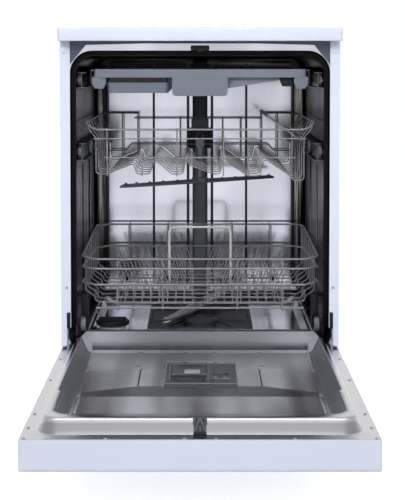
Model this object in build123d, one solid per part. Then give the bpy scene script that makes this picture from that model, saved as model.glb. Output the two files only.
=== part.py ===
"""Freestanding dishwasher with its door open and three pull-out racks, in millimetres."""

import os
from math import cos, pi, radians, sin, tan

from build123d import *

# Overall sizes of the machine
cabinet_height = 845.0
worktop_width = 598.0
worktop_depth = 580.0
worktop_thickness = 28.0
body_width = 596.0
sheet = 1.0
touch = 0.3

# Door, lying open: the inner face looks up and the outer face looks down
panel_setback = 38.0
hinge_inset = 8.0
hinge_z = 168.0
inner_face_drop = 10.0
door_thickness = 55.0
door_above_hinge = 646.0
door_below_hinge = 45.0
hinge_pin_r = 4.0
running_gap = 0.05

# Planes that follow from them: X to the right, Y to the back, Z up, origin under the middle
half = body_width / 2
door_reach = door_above_hinge - panel_setback - hinge_inset
front = (door_reach - worktop_depth) / 2
back = front + worktop_depth
panel_front = front + panel_setback
hinge_y = panel_front + hinge_inset
door_near = hinge_y - door_above_hinge
door_far = hinge_y + door_below_hinge
inner_face = hinge_z - inner_face_drop
outer_face = inner_face - door_thickness
worktop_under = cabinet_height - worktop_thickness

# Side panels and rear panel
flange_width = 21.0
flange_notch_top = 236.0
flange_strip = 12.0
panel_bottom = 40.0
toe_top = hinge_z - 5.0
toe_depth = door_below_hinge + 14.0
rear_overhang = 11.0
rear_plane = back - rear_overhang

# Tub
tub_half = 268.0
tub_wall = 1.0
tub_front = panel_front + 2.0
collar_depth = 36.0
collar_half = half - flange_width
collar_top = 797.0
tub_top = 786.0
tub_back = 570.0
tub_floor = 178.0
tub_corner_r = 42.0
tub_rear_r = 20.0
pan_drop = 9.0
pan_half = 240.0
tub_main = tub_front + collar_depth
lip_height = 12.0
lip_half = 240.0
apron_y = tub_main + 4.0
rib_height = 2.0

# Seal around the opening
seal_band = 10.0
seal_front = tub_front + 18.0
seal_depth = 17.0

# Racks run on wheels and rollers in double channel rails along the tub walls
rail_web_x = 257.5
rail_thickness = 1.5
wheel_gap = 0.3
wheel_width = 7.0
axle_r = 3.0
upper_wheel_r = 17.0
tray_wheel_r = 15.0
upper_rail_z = 576.5
tray_rail_z = 733.0
rail_front = 105.0
rail_length = 430.0

# Lower basket
lower_front = front + 85.0
lower_rear = front + 528.0
wire_r = 2.0
rim_r = 2.5
wire_corner = wire_r / cos(pi / 6)
weld_gap = 0.15
lower_half = 255.0
lower_floor_half = 229.0
lower_floor_z = 236.0
lower_rim_front_z = 343.0
lower_rim_rear_z = 360.0
lower_cross_count = 16
lower_wheel_r = 17.0
lower_wheel_width = 11.0
lower_wheel_x = 251.0

# Upper basket
upper_half = 229.0
upper_rim_z = 637.0
wave_pitch = 28.3
wave_count = 16
manifold_z = 581.0
manifold_r = 13.0
upper_arm_z = 488.0
arm_pin_r = 10.0
centre_y = front + 306.5


def block(x0, x1, y0, y1, z0, z1):
    """A box between two corners."""
    middle = ((x0 + x1) / 2, (y0 + y1) / 2, (z0 + z1) / 2)
    return Pos(*middle) * Box(abs(x1 - x0), abs(y1 - y0), abs(z1 - z0))


def plate_yz(points, x0, x1):
    """An outline of (y, z) points, extruded from x0 to x1."""
    outline = Polyline(*[(x0, y, z) for y, z in points], close=True)
    return extrude(make_face(outline), x1 - x0, dir=(1, 0, 0))


def plate_xz(points, y0, y1):
    """An outline of (x, z) points, extruded from y0 to y1."""
    outline = Polyline(*[(x, y0, z) for x, z in points], close=True)
    return extrude(make_face(outline), y1 - y0, dir=(0, 1, 0))


def plate_xy(points, z0, z1):
    """An outline of (x, y) points, extruded from z0 to z1."""
    outline = Polyline(*[(x, y, z0) for x, y in points], close=True)
    return extrude(make_face(outline), z1 - z0, dir=(0, 0, 1))


def rod(axis, place, start, end, radius, sides=0):
    """A rod along an axis, at the other two coordinates given in place: round, or with flat sides."""
    turn = {"x": Rot(0, 90, 0), "y": Rot(-90, 0, 0), "z": Rot(0, 0, 0)}[axis]
    low, high = min(start, end), max(start, end)
    spot = {"x": (low, *place), "y": (place[0], low, place[1]), "z": (*place, low)}[axis]
    section = RegularPolygon(radius, sides) if sides else Circle(radius)
    return Pos(*spot) * turn * extrude(section, high - low)


def mirrored(shape):
    """The piece for the other side of the machine."""
    return mirror(shape, about=Plane.YZ)


def both_sides(shape):
    """A list with a piece and its mirror image."""
    return [shape, mirrored(shape)]


def both_ends(x):
    """The same distance to the left and to the right."""
    return (-x, x)


def rounded_slab(x0, x1, y0, y1, z0, z1, radius):
    """A slab with rounded corners in plan."""
    middle = ((x0 + x1) / 2, (y0 + y1) / 2, z0)
    outline = Pos(*middle) * RectangleRounded(abs(x1 - x0), abs(y1 - y0), radius)
    return extrude(outline, z1 - z0, dir=(0, 0, 1))


def frustum(low, high, z0, z1, r0, r1):
    """A loft between two rounded rectangles, each given as (x0, x1, y0, y1)."""
    outlines = []
    for (x0, x1, y0, y1), z, r in ((low, z0, r0), (high, z1, r1)):
        place = Pos((x0 + x1) / 2, (y0 + y1) / 2, z)
        outlines.append(place * RectangleRounded(x1 - x0, y1 - y0, r))
    return loft(outlines)


def wire(points, radius, flat_up=(0, 0, 1), sides=6, closed=False):
    """A bent wire with mitred corners. Its flats are one radius from the line, so wires seat on each other."""
    line = [Vector(*p) for p in points]
    steps = [(b - a).normalized() for a, b in zip(line, line[1:] + line[:1])]
    if not closed:
        steps = steps[:-1]
    across = Vector(*flat_up)
    across = (across - steps[0] * across.dot(steps[0])).normalized()
    beside = steps[0].cross(across)
    corner_r = radius / cos(pi / sides)
    ring = []
    for k in range(sides):
        turn = 2 * pi * (k + 0.5) / sides
        ring.append(line[0] + (across * cos(turn) + beside * sin(turn)) * corner_r)

    def carried(ring, step, spot, normal):
        return [p + step * ((spot - p).dot(normal) / step.dot(normal)) for p in ring]

    rings = []
    count = len(line)
    for i in range(count):
        before = steps[i - 1] if (i or closed) else steps[0]
        after = steps[i] if i < len(steps) else steps[-1]
        normal = (before + after).normalized()
        ring = carried(ring, before if i else after, line[i], normal)
        rings.append(ring)
    faces = []
    pairs = list(zip(rings, rings[1:]))
    if closed:
        pairs.append((rings[-1], rings[0]))
    for a, b in pairs:
        for k in range(sides):
            n = (k + 1) % sides
            faces.append(Face(Wire.make_polygon([a[k], a[n], b[n], b[k]])))
    if not closed:
        faces.append(Face(Wire.make_polygon(rings[0])))
        faces.append(Face(Wire.make_polygon(rings[-1])))
    return Solid(Shell(faces))


def save(name, *pieces):
    """Writes one node, with each of its pieces as a solid of its own."""
    solids = []
    for piece in pieces:
        solids.extend(piece.solids())
    shape = solids[0] if len(solids) == 1 else Compound(children=solids)
    export_step(shape, f"parts/{name}.step")


os.makedirs("parts", exist_ok=True)


# Cabinet panels


def make_worktop():
    slab = block(
        -worktop_width / 2, worktop_width / 2, front, back, worktop_under, cabinet_height
    )
    slab = fillet(slab.edges().filter_by(Axis.Z), 6.0)
    return chamfer(slab.faces().sort_by(Axis.Z)[-1].edges(), 2.0)


def make_side_panel():
    """Left panel: a folded sheet with front, rear and top flanges and a stepped toe."""
    outline = [
        (panel_front, worktop_under),
        (panel_front, toe_top),
        (panel_front + toe_depth, toe_top),
        (panel_front + toe_depth, panel_bottom),
        (rear_plane - sheet, panel_bottom),
        (rear_plane - sheet, worktop_under),
    ]
    skin = plate_yz(outline, -half, -half + sheet)
    inner = -half + flange_width
    strip = -half + flange_strip
    face = plate_xz(
        [
            (-half, worktop_under),
            (-half, toe_top),
            (strip, toe_top),
            (strip, flange_notch_top),
            (inner, flange_notch_top),
            (inner, worktop_under),
        ],
        panel_front,
        panel_front + sheet,
    )
    rear = block(
        -half, inner, rear_plane - 2 * sheet, rear_plane - sheet, panel_bottom, worktop_under
    )
    top = block(
        -half, inner - 5.0, panel_front, rear_plane - sheet, worktop_under - sheet, worktop_under
    )
    return skin + face + rear + top


def make_rear_panel():
    """Flat sheet over the rear flanges, with three pressed stiffening ribs."""
    low = 152.0
    sheet_face = block(-half + 6, half - 6, rear_plane - sheet, rear_plane, low, worktop_under)
    ribs = [
        block(x - 9, x + 9, rear_plane, rear_plane + 3.0, low + 60, worktop_under - 60)
        for x in (-160.0, 0.0, 160.0)
    ]
    for rib in ribs:
        rib = chamfer(rib.faces().sort_by(Axis.Y)[-1].edges(), 2.0)
        sheet_face = sheet_face + rib
    return sheet_face


save("worktop", make_worktop())
save("side_panels", *both_sides(make_side_panel()))
save("rear_panel", make_rear_panel())


# Base, plinth and feet

base_bottom = 28.0
base_top = 150.0
base_front = panel_front + toe_depth + 14.0
base_rear = rear_plane - 2 * sheet - touch
base_wall = 3.0
base_half = half - sheet - touch
foot_r = 17.0
foot_height = 9.0
shank_r = 5.0
foot_x = base_half - 34.0
foot_front_y = base_front + 34.0
foot_rear_y = base_rear - 34.0
boss_r = 12.0
boss_height = 34.0
plinth_thickness = 4.0
plinth_top = 122.0
plinth_bottom = 22.0
plinth_front = base_front - plinth_thickness - 6.0
foot_spots = [(x, y) for y in (foot_front_y, foot_rear_y) for x in (-foot_x, foot_x)]


def make_base():
    """Moulded tray that carries the tub and holds the pumps, with bosses for the feet."""
    tray = block(-base_half, base_half, base_front, base_rear, base_bottom, base_top)
    inside = block(
        -base_half + base_wall,
        base_half - base_wall,
        base_front + base_wall,
        base_rear - base_wall,
        base_bottom + base_wall,
        base_top + 1,
    )
    tray = tray - inside
    for y in (base_front + 150.0, base_front + 300.0):
        rib = block(
            -base_half, base_half, y - 1.5, y + 1.5, base_bottom, base_bottom + base_wall + 12.0
        )
        tray = tray + rib
    for spot in foot_spots:
        boss_top = base_bottom + boss_height
        tray = tray + rod("z", spot, base_bottom, boss_top, boss_r)
        tray = tray - rod("z", spot, base_bottom - 1, boss_top + 1, shank_r)
    hose_gap = rod("y", (drain_x, drain_z), base_rear - base_wall - 1, base_rear + 1, drain_r + 1.0)
    cord_hole = rod("y", (cord_x, drain_z), base_rear - base_wall - 1, base_rear + 1, cord_r)
    valve_gap = rod("y", (valve_x, valve_z), base_rear - base_wall - 1, base_rear + 1, inlet_r + 1.5)
    return tray - hose_gap - valve_gap - cord_hole


def make_feet():
    feet = []
    for spot in foot_spots:
        foot = rod("z", spot, 0, foot_height, foot_r, 16)
        foot = chamfer(foot.faces().sort_by(Axis.Z)[-1].edges(), 3.0)
        nut = rod("z", spot, foot_height, foot_height + 6.0, shank_r + 3.0, 6)
        shank = rod("z", spot, foot_height, base_bottom + boss_height - 4.0, shank_r)
        feet.append(foot + nut + shank)
    return feet


def make_plinth():
    """Kick plate with folded top, hung on two brackets in front of the base."""
    board = block(
        -base_half, base_half, plinth_front, plinth_front + plinth_thickness, plinth_bottom, plinth_top
    )
    board = chamfer(board.edges().filter_by(Axis.X).sort_by(Axis.Y)[:2], 1.0)
    for x in (-180.0, 180.0):
        bracket = block(
            x - 20, x + 20, plinth_front + plinth_thickness, base_front, plinth_top - 32, plinth_top - 29
        )
        board = board + bracket
    return board


valve_x = 215.0
valve_z = 80.0
inlet_r = 13.2
inlet_length = 14.0
drain_x = 105.0
drain_z = 71.0
drain_r = 10.0
drain_length = 6.0
cord_x = -200.0
cord_r = 6.0
save("levelling_feet", *make_feet())
save("base_tray", make_base())
save("plinth", make_plinth())


# Tub

floor_opening_r = 62.0


def tub_profile(grow, top):
    """Section of the tub in the XZ plane with rounded top corners, as a face at y = 0."""
    width = 2 * (tub_half + grow)
    height = top + grow - (tub_floor - grow)
    outline = Rectangle(width, height)
    outline = fillet(outline.vertices().sort_by(Axis.Y)[-2:], tub_corner_r + grow)
    middle_z = (top + grow + tub_floor - grow) / 2
    return Pos(0, 0, middle_z) * Rot(90, 0, 0) * outline


def collar_profile(grow):
    """Section of the wider front collar, which has no floor."""
    low = tub_floor + 24.0
    width = 2 * (collar_half + grow)
    outline = Rectangle(width, collar_top + grow - low)
    outline = fillet(outline.vertices().sort_by(Axis.Y)[-2:], tub_corner_r + 6 + grow)
    return Pos(0, 0, (collar_top + grow + low) / 2) * Rot(90, 0, 0) * outline


def along_y(face, y0, y1):
    return extrude(Pos(0, y0, 0) * face, y1 - y0, dir=(0, 1, 0))


def make_tub():
    """One-piece pressed tub: body, stepped front collar, arched face flange and sunk floor pan."""
    outer = along_y(tub_profile(tub_wall, tub_top), tub_main, tub_back)
    rear_edges = outer.faces().sort_by(Axis.Y)[-1].edges()
    outer = fillet(rear_edges, tub_rear_r)
    inner = along_y(tub_profile(0.0, tub_top), tub_main - 1, tub_back - tub_wall)
    inner = fillet(inner.faces().sort_by(Axis.Y)[-1].edges(), tub_rear_r - tub_wall)
    collar = along_y(collar_profile(tub_wall), tub_front, tub_main + tub_wall)
    hollow = along_y(collar_profile(0.0), tub_front - 1, tub_main)
    pan_low = tub_floor - pan_drop
    pan_box = (-pan_half, pan_half, apron_y + 14.0, tub_back - 26.0)
    deep_box = (-pan_half + 14, pan_half - 14, apron_y + 26.0, tub_back - 40.0)
    pan = frustum(deep_box, pan_box, pan_low, tub_floor, 30.0, 40.0)
    pan_skin = frustum(deep_box, pan_box, pan_low - tub_wall, tub_floor - tub_wall, 31.0, 41.0)
    tub = (outer + collar + pan_skin) - inner - hollow - pan
    face_z = collar_top + 15.0
    shoulder = collar_half - 34.0
    flange = plate_xz(
        [
            (-half + 3, tub_floor + 60),
            (-half + 3, collar_top - 30),
            (-collar_half, collar_top - 30),
            (-shoulder, face_z - 3),
            (-shoulder / 2, face_z),
            (shoulder / 2, face_z),
            (shoulder, face_z - 3),
            (collar_half, collar_top - 30),
            (half - 3, collar_top - 30),
            (half - 3, tub_floor + 60),
        ],
        tub_front,
        tub_front + sheet,
    )
    tub = tub + (flange - hollow)
    lip = block(-lip_half, lip_half, tub_main, apron_y + sheet, tub_floor - tub_wall, tub_floor + lip_height)
    lip = lip - block(
        -lip_half - 1, lip_half + 1, tub_main - 1, apron_y, tub_floor - 5, tub_floor + lip_height - sheet
    )
    tub = tub + lip
    for x in (30.0, 118.0, 236.0):
        rib = rod("z", (x, tub_back - tub_wall), tub_floor + 40, tub_top - 60, rib_height, 4)
        for piece in both_sides(rib):
            tub = tub + piece
    for y in (230.0, 390.0):
        rib = rod("z", (tub_half, y), tub_floor + 62, tub_floor + 362, rib_height, 4)
        for piece in both_sides(rib):
            tub = tub + piece
    outside = along_y(tub_profile(tub_wall, tub_top), tub_main, tub_back)
    keep = outside + along_y(collar_profile(tub_wall), tub_front, tub_main + tub_wall) + pan_skin
    tub = tub & (keep + flange + lip)
    well = rod("z", (0, centre_y), pan_low - 3, pan_low + 1, floor_opening_r)
    salt_hole = rod("z", salt_spot, pan_low - 3, tub_floor + 1, salt_neck_r)
    return tub - well - salt_hole


salt_spot = (-198.0, front + 188.0)
salt_neck_r = 30.0
salt_cap_r = 36.0


def make_front_frame():
    """Cross member under the worktop that shows beside the arched collar."""
    low = collar_top - 40.0
    frame = plate_xz(
        [
            (-half + 3, worktop_under - 1),
            (-half + 3, low),
            (-collar_half - 3, low),
            (-collar_half - 3, collar_top - 32),
            (-collar_half + 40, collar_top + 8),
            (collar_half - 40, collar_top + 8),
            (collar_half + 3, collar_top - 32),
            (collar_half + 3, low),
            (half - 3, low),
            (half - 3, worktop_under - 1),
        ],
        tub_front + sheet + touch,
        tub_front + sheet + touch + 2.0,
    )
    return frame - along_y(collar_profile(tub_wall + touch), tub_front, tub_main)


def make_seal():
    """Door gasket: a hollow-lipped rubber band around the sides and top of the opening."""
    outer = along_y(collar_profile(-touch), seal_front, seal_front + seal_depth)
    inner = along_y(collar_profile(-seal_band), seal_front - 1, seal_front + seal_depth + 1)
    groove = along_y(collar_profile(-seal_band / 2), seal_front + 4.0, seal_front + 9.0)
    return outer - inner - groove


striker_half = 20.0
striker_z = (collar_top - 0.5, collar_top + 11.0)
striker_base = 2.0
tongue_half = 5.0
tongue_reach = 23.0
tongue_z = (collar_top - 3.0, collar_top + 5.0)


def make_striker():
    """Latch keeper on the collar's face, with a hooked tongue that enters the door."""
    base_y = tub_front - striker_base
    body = block(-striker_half, striker_half, base_y, tub_front, *striker_z)
    body = fillet(body.edges().filter_by(Axis.Y), 3.0)
    tip_y = tub_front - tongue_reach
    low, high = tongue_z
    tongue = plate_yz(
        [
            (base_y, striker_z[0] + 1),
            (base_y, high),
            (tip_y, high),
            (tip_y - 1, low),
            (tip_y + 4, low),
            (tip_y + 5, low + 3),
            (base_y - 4, low + 3),
        ],
        -tongue_half,
        tongue_half,
    )
    return body + tongue


save("tub", make_tub())
save("front_frame", make_front_frame())
save("door_seal", make_seal())
save("latch_striker", make_striker())


# Water parts on and under the tub floor

pan_floor = tub_floor - pan_drop
sump_depth = 58.0
filter_plate_z = pan_floor
cup_spot = (0.0, centre_y - 100.0)
cup_r = 36.0
lower_arm_z = 197.0


def make_sump():
    """Moulded sump below the floor, with the tower that carries the lower spray arm."""
    low = pan_floor - tub_wall - sump_depth
    body = rod("z", (0, centre_y), low, pan_floor - tub_wall, floor_opening_r + 12.0)
    body = body - rod("z", (0, centre_y), low + 4, pan_floor, floor_opening_r)
    body = body + rod("z", (0, centre_y), low, filter_plate_z, 22.0)
    body = body + rod("z", (0, centre_y), filter_plate_z, lower_arm_z - 3.0, 16.0)
    body = body + rod("z", (0, centre_y), lower_arm_z - 3.0, lower_arm_z + 14.0, arm_pin_r)
    side = rod("x", (centre_y, low + 26), floor_opening_r + 6, floor_opening_r + 26, 17.0)
    return body + side - rod("x", (centre_y, low + 26), floor_opening_r - 8, floor_opening_r + 27, 13.0)


def make_filter_plate():
    """Dished coarse filter with a raised rim, diagonal ribs and a socket for the cup."""
    half_x = 119.0
    y0 = centre_y - 155.0
    y1 = centre_y + 150.0
    z0 = filter_plate_z
    plate = rounded_slab(-half_x, half_x, y0, y1, z0 + touch, z0 + 9.0, 26.0)
    dish = rounded_slab(-half_x + 7, half_x - 7, y0 + 7, y1 - 7, z0 + 3.5, z0 + 10.0, 20.0)
    plate = plate - dish
    for side in (-1, 1):
        for reach in (70.0, 105.0):
            for end in (-1, 1):
                root = Vector(side * 26.0, centre_y + end * 40.0)
                tip = Vector(side * reach, centre_y + end * (118.0 if reach < 100 else 70.0))
                run = (tip - root).normalized() * 1.6
                cross = Vector(-run.Y, run.X)
                corners = [root + cross, tip + cross, tip - cross, root - cross]
                rib = plate_xy([(c.X, c.Y) for c in corners], z0 + 3.0, z0 + 6.5)
                plate = plate + rib
    plate = plate - rod("z", (0, centre_y), z0 - 1, z0 + 12, 22.0 + touch)
    return plate - rod("z", cup_spot, z0 - 1, z0 + 12, cup_r + 2.0)


def make_filter_cup():
    """Fine filter cartridge with a grip bar across its mouth."""
    z0 = filter_plate_z
    cup = rod("z", cup_spot, z0 + touch, z0 + 20.0, cup_r)
    cup = cup - rod("z", cup_spot, z0 + 4, z0 + 21, cup_r - 3.0)
    cup = cup + rod("z", cup_spot, z0 + 15.0, z0 + 18.0, cup_r + 5.0) - rod(
        "z", cup_spot, z0 + 4, z0 + 21, cup_r - 3.0
    )
    bar = block(-cup_r + 1, cup_r - 1, cup_spot[1] - 3, cup_spot[1] + 3, z0 + 12.0, z0 + 20.0)
    return cup + bar


def make_salt_cap():
    """Screw cap of the softener, with grip ribs around it and a finger bar."""
    z0 = tub_floor + touch
    cap = rod("z", salt_spot, z0, z0 + 9.0, salt_cap_r)
    for k in range(12):
        turn = Rot(0, 0, 30.0 * k)
        rib = turn * (Pos(salt_cap_r, 0, z0) * Box(3, 4, 9, align=(Align.CENTER, Align.CENTER, Align.MIN)))
        cap = cap + Pos(*salt_spot, 0) * rib
    cap = cap + Pos(*salt_spot, z0 + 9.0) * Box(
        2 * salt_cap_r - 12, 9, 7, align=(Align.CENTER, Align.CENTER, Align.MIN)
    )
    return cap


def spray_arm(z, half_length, height, half_width, angle):
    """Tapered hollow-looking arm with raised jets, a bored hub and turned-up tips."""
    tip = half_width * 0.62
    outline = [
        (-half_length, -tip),
        (-half_length * 0.2, -half_width),
        (half_length * 0.2, -half_width),
        (half_length, -tip),
        (half_length + tip * 0.5, 0),
        (half_length, tip),
        (half_length * 0.2, half_width),
        (-half_length * 0.2, half_width),
        (-half_length, tip),
        (-half_length - tip * 0.5, 0),
    ]
    arm = plate_xy(outline, z, z + height)
    arm = chamfer(arm.faces().sort_by(Axis.Z)[-1].edges(), height * 0.3)
    for k in (0.3, 0.5, 0.68, 0.84, 0.95):
        for side, lean in ((-1, 1), (1, -1)):
            jet = rod("z", (side * k * half_length, lean * 4.0), z + 1, z + height + 2.0, 3.4, 6)
            arm = arm + jet
    hub = rod("z", (0, 0), z, z + height + 4.0, arm_pin_r + 9.0)
    arm = arm + hub - rod("z", (0, 0), z - 1, z + height + 5, arm_pin_r + running_gap)
    return Pos(0, centre_y, 0) * Rot(0, 0, angle) * arm


def make_softener():
    """Softener tank beside the sump, with its filling neck under the salt cap."""
    tank = block(-246, -150, base_front + base_wall + 4, front + 290.0, 46.0, pan_floor - 12.0)
    tank = fillet(tank.edges().filter_by(Axis.Z), 12.0)
    neck = rod("z", salt_spot, pan_floor - 14.0, tub_floor, salt_neck_r - touch)
    return tank + neck - rod("z", salt_spot, 90.0, tub_floor + 1, salt_neck_r - 5.0)


def make_wash_pump():
    """Circulation pump: motor, volute and heater sleeve on one axis."""
    low = pan_floor - tub_wall - sump_depth
    place = (centre_y, low + 26)
    x0 = floor_opening_r + 26.0
    volute = rod("x", place, x0, x0 + 34, 30.0)
    motor = rod("x", place, x0 + 34, x0 + 112, 27.0)
    cap = rod("x", place, x0 + 112, x0 + 124, 20.0)
    return volute + motor + cap


def make_drain_pump():
    """Drain pump in front of the sump, with its outlet run to the rear wall of the base."""
    low = pan_floor - tub_wall - sump_depth
    z = low + 16.0
    y = centre_y - floor_opening_r - 12.0
    body = rod("y", (0, z), y - 78, y - 24, 24.0) + rod("y", (0, z), y - 24, y, 30.0)
    riser = rod("z", (0, y - 12), drain_z, z, drain_r, 8)
    elbow = rod("x", (y - 12, drain_z), -drain_r, drain_x + drain_r, drain_r, 8)
    run = rod("y", (drain_x, drain_z), y - 12, base_rear - base_wall - 4, drain_r, 8)
    collar = rod("y", (drain_x, drain_z), base_rear - base_wall - 8, base_rear - base_wall - touch, drain_r + 5)
    spigot = rod("y", (drain_x, drain_z), base_rear - base_wall - 1, base_rear + drain_length, drain_r)
    return body + riser + elbow + run + collar + spigot


def make_inlet_valve():
    """Mains water valve behind the rear of the base, with its hose thread facing back."""
    y1 = base_rear - base_wall - touch
    body = block(valve_x - 22, valve_x + 22, y1 - 46, y1, valve_z - 22, valve_z + 22)
    body = fillet(body.edges().filter_by(Axis.Y), 6.0)
    coil = rod("z", (valve_x, y1 - 24), valve_z + 22, valve_z + 56, 15.0)
    spigot = rod("y", (valve_x, valve_z), y1, y1 + inlet_length, inlet_r)
    bore = rod("y", (valve_x, valve_z), y1 - 20, y1 + inlet_length + 1, 8.0)
    return body + coil + spigot - bore


def make_air_break():
    """Flat moulded water chamber between the tub wall and the left panel."""
    x0 = -half + sheet + 3.0
    x1 = -tub_half - tub_wall - 3.0
    chamber = block(x0, x1, front + 190, front + 410, 300, 640)
    chamber = fillet(chamber.edges().filter_by(Axis.X), 22.0)
    for z in (380.0, 460.0, 540.0):
        chamber = chamber + block(x1, x1 + 3.0 - touch, front + 220, front + 380, z, z + 8)
        chamber = chamber - block(x0 - 1, x0 + 3, front + 215, front + 385, z + 20, z + 50)
    return chamber


duct_half = 19.0
duct_front = tub_back - 26.0
port_r = manifold_r
port_reach = 5.0


def make_duct():
    """Riser up the back wall with the docking port for the upper spray arm."""
    y1 = tub_back - tub_wall - touch
    low = tub_floor + tub_rear_r
    duct = block(-duct_half, duct_half, duct_front, y1, low, tub_top - tub_rear_r)
    duct = chamfer(duct.edges().filter_by(Axis.Z).sort_by(Axis.Y)[:2], 5.0)
    collar = block(-duct_half - 3, duct_half + 3, duct_front - 3, y1 - 4, 604, 628)
    duct = duct + collar
    port = rod("y", (0, manifold_z), duct_front - port_reach, duct_front + 6, port_r)
    socket = rod("y", (0, manifold_z), duct_front - port_reach - 1, duct_front + 3, port_r - 4.0)
    foot = block(-26, 26, duct_front - 10, tub_back - tub_rear_r - 2, tub_floor + touch, low + 6)
    return duct + port + foot - socket


save("sump", make_sump())
save("filter_plate", make_filter_plate())
save("filter_cup", make_filter_cup())
save("salt_cap", make_salt_cap())
save("lower_arm", spray_arm(lower_arm_z, 212.0, 9.0, 21.0, 68.0))
save("softener", make_softener())
save("pumps", make_wash_pump(), make_drain_pump())
save("inlet_valve", make_inlet_valve())
save("air_break", make_air_break())
save("feed_duct", make_duct())


# Hinges

arm_plane = collar_half + tub_wall + 1.5
arm_thickness = 3.0
bracket_plane = arm_plane + arm_thickness + 1.0
bracket_thickness = 3.0
door_arm_length = 150.0


def make_hinge_bracket():
    """Left bracket: a pressed plate behind the panel flange."""
    y0 = panel_front + sheet + 2.0
    bracket_back = base_front + base_wall + 1.0
    outline = [
        (y0, flange_notch_top + 30),
        (y0, hinge_z - 13),
        (hinge_y + 8, hinge_z - 16),
        (bracket_back, hinge_z - 16),
        (bracket_back, 62),
        (y0 + 150, 62),
        (y0 + 150, hinge_z + 30),
        (y0 + 40, flange_notch_top + 30),
    ]
    x0 = -bracket_plane - bracket_thickness
    plate = plate_yz(outline, x0, -bracket_plane)
    plate = plate - rod("x", (hinge_y, hinge_z), x0 - 1, -bracket_plane + 1, hinge_pin_r)
    foot = block(-base_half + 2 * base_wall + touch, -bracket_plane, y0 + 100, y0 + 150, 62, 65)
    return plate + foot


def make_hinge_pin():
    pin = rod(
        "x", (hinge_y, hinge_z), -bracket_plane - bracket_thickness - 2, -arm_plane + 2, hinge_pin_r
    )
    head = rod(
        "x",
        (hinge_y, hinge_z),
        -bracket_plane - bracket_thickness - 4.5,
        -bracket_plane - bracket_thickness,
        hinge_pin_r + 2.5,
    )
    return pin + head


def make_hinge_arm():
    """Left door arm: an eye on the pin and a flat bar along the inside of the door."""
    x0 = -arm_plane - arm_thickness
    eye = rod("x", (hinge_y, hinge_z), x0, -arm_plane, 11.0)
    bar = plate_yz(
        [
            (hinge_y + 9.5, hinge_z - 3),
            (hinge_y + 9.5, outer_face + 26),
            (hinge_y - door_arm_length, outer_face + 10),
            (hinge_y - door_arm_length, outer_face + 30),
            (hinge_y - 40, inner_face - 8),
            (hinge_y - 9.5, hinge_z - 3),
        ],
        x0,
        -arm_plane,
    )
    foot = block(
        x0, -arm_plane + 22, hinge_y - door_arm_length, hinge_y - 60, outer_face + sheet, outer_face + sheet + 3
    )
    web = block(
        x0, -arm_plane, hinge_y - door_arm_length, hinge_y - 60, outer_face + sheet, outer_face + 20
    )
    arm = eye + bar + foot + web
    return arm - rod("x", (hinge_y, hinge_z), x0 - 1, -arm_plane + 1, hinge_pin_r + running_gap)


save("hinge_brackets", *both_sides(make_hinge_bracket()), *both_sides(make_hinge_pin()))
save("hinge_arms", *both_sides(make_hinge_arm()))


def make_hinge_cover():
    """Left cover plate in the notch of the side panel's flange, on the bracket's front edge."""
    y1 = panel_front + sheet + 2.0
    z0 = flange_notch_top - 36.0
    x0 = -half + flange_strip + 0.2
    plate = block(x0, -arm_plane + 1.0, y1 - 2.5, y1, z0, flange_notch_top - 2.0)
    return chamfer(plate.faces().sort_by(Axis.Y)[0].edges(), 0.8)


def make_flange_plug():
    """Left plug in the screw hole of the panel's front flange."""
    place = (-half + 12.5, flange_notch_top + 53.0)
    return rod("y", place, panel_front - 1.4, panel_front, 3.6, 8)


def make_panel_screws():
    """Round-head screws that hold the side panels to the front frame and the base."""
    screws = []
    for x in (-half + 9.0, half - 9.0):
        screws.append(rod("y", (x, collar_top - 4.0), panel_front - 1.6, panel_front, 3.6, 8))
        for z in (base_top + 180, base_top + 370, base_top + 560):
            screws.append(rod("y", (x, z), rear_plane, rear_plane + 1.6, 3.6, 8))
    return screws


save("flange_trims", *both_sides(make_hinge_cover()), *both_sides(make_flange_plug()))
save("panel_screws", *make_panel_screws())


# Door

control_depth = 130.0
control_wall = 3.0
door_half = half
skin_near = door_near + control_depth + touch
rim_outer_half = 272.0
rim_height = 20.0
rim_slope = 34.0
rim_corner_r = 34.0
rim_near = door_near + 15.0
recess_half = 250.5
recess_near = rim_near + rim_slope + 18.0
recess_floor = inner_face - 13.0
recess_far = hinge_y + 40.0
lip_far = hinge_y + 16.0
lip_z = hinge_z + 20.0
lip_half_x = recess_half - 9.0
liner_sheet = 1.0
liner_flange_far = hinge_y - 28.0
rim_far = hinge_y + 4.0


def make_door_skin():
    """Outer sheet of the door with folded sides, closed at the hinge end."""
    outer = block(-door_half, door_half, skin_near, door_far, outer_face, inner_face - 1.5)
    inner = block(
        -door_half + sheet,
        door_half - sheet,
        skin_near - 1,
        door_far - sheet,
        outer_face + sheet,
        inner_face + 1,
    )
    skin = outer - inner
    trimmed = block(
        -door_half - 1, door_half + 1, recess_far - 8, door_far + 1, outer_face + 30, inner_face + 1
    )
    return skin - trimmed


def liner_outer(inset):
    """The raised rim as a solid, shrunk by an inset on every outer face."""
    half_low = rim_outer_half - inset
    top = inner_face + rim_height - inset
    low = (-half_low, half_low, rim_near + inset, rim_far - inset)
    high = (-half_low + 4, half_low - 4, rim_near + rim_slope + inset, rim_far - inset)
    return frustum(low, high, inner_face - liner_sheet, top, rim_corner_r, rim_corner_r - 2.0)


def liner_recess(grow):
    """The sunk middle of the liner as a solid, grown by a wall on every face."""
    top = inner_face + rim_height + (1.0 if not grow else 0.0)
    low_half = recess_half - 12.0 + grow
    high_half = recess_half + grow
    low = (-low_half, low_half, recess_near + 16 - grow, recess_far - 8 + grow)
    high = (-high_half, high_half, recess_near - grow, rim_far + 20.0)
    return frustum(low, high, recess_floor - grow, top, 26.0, 30.0)


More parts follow.
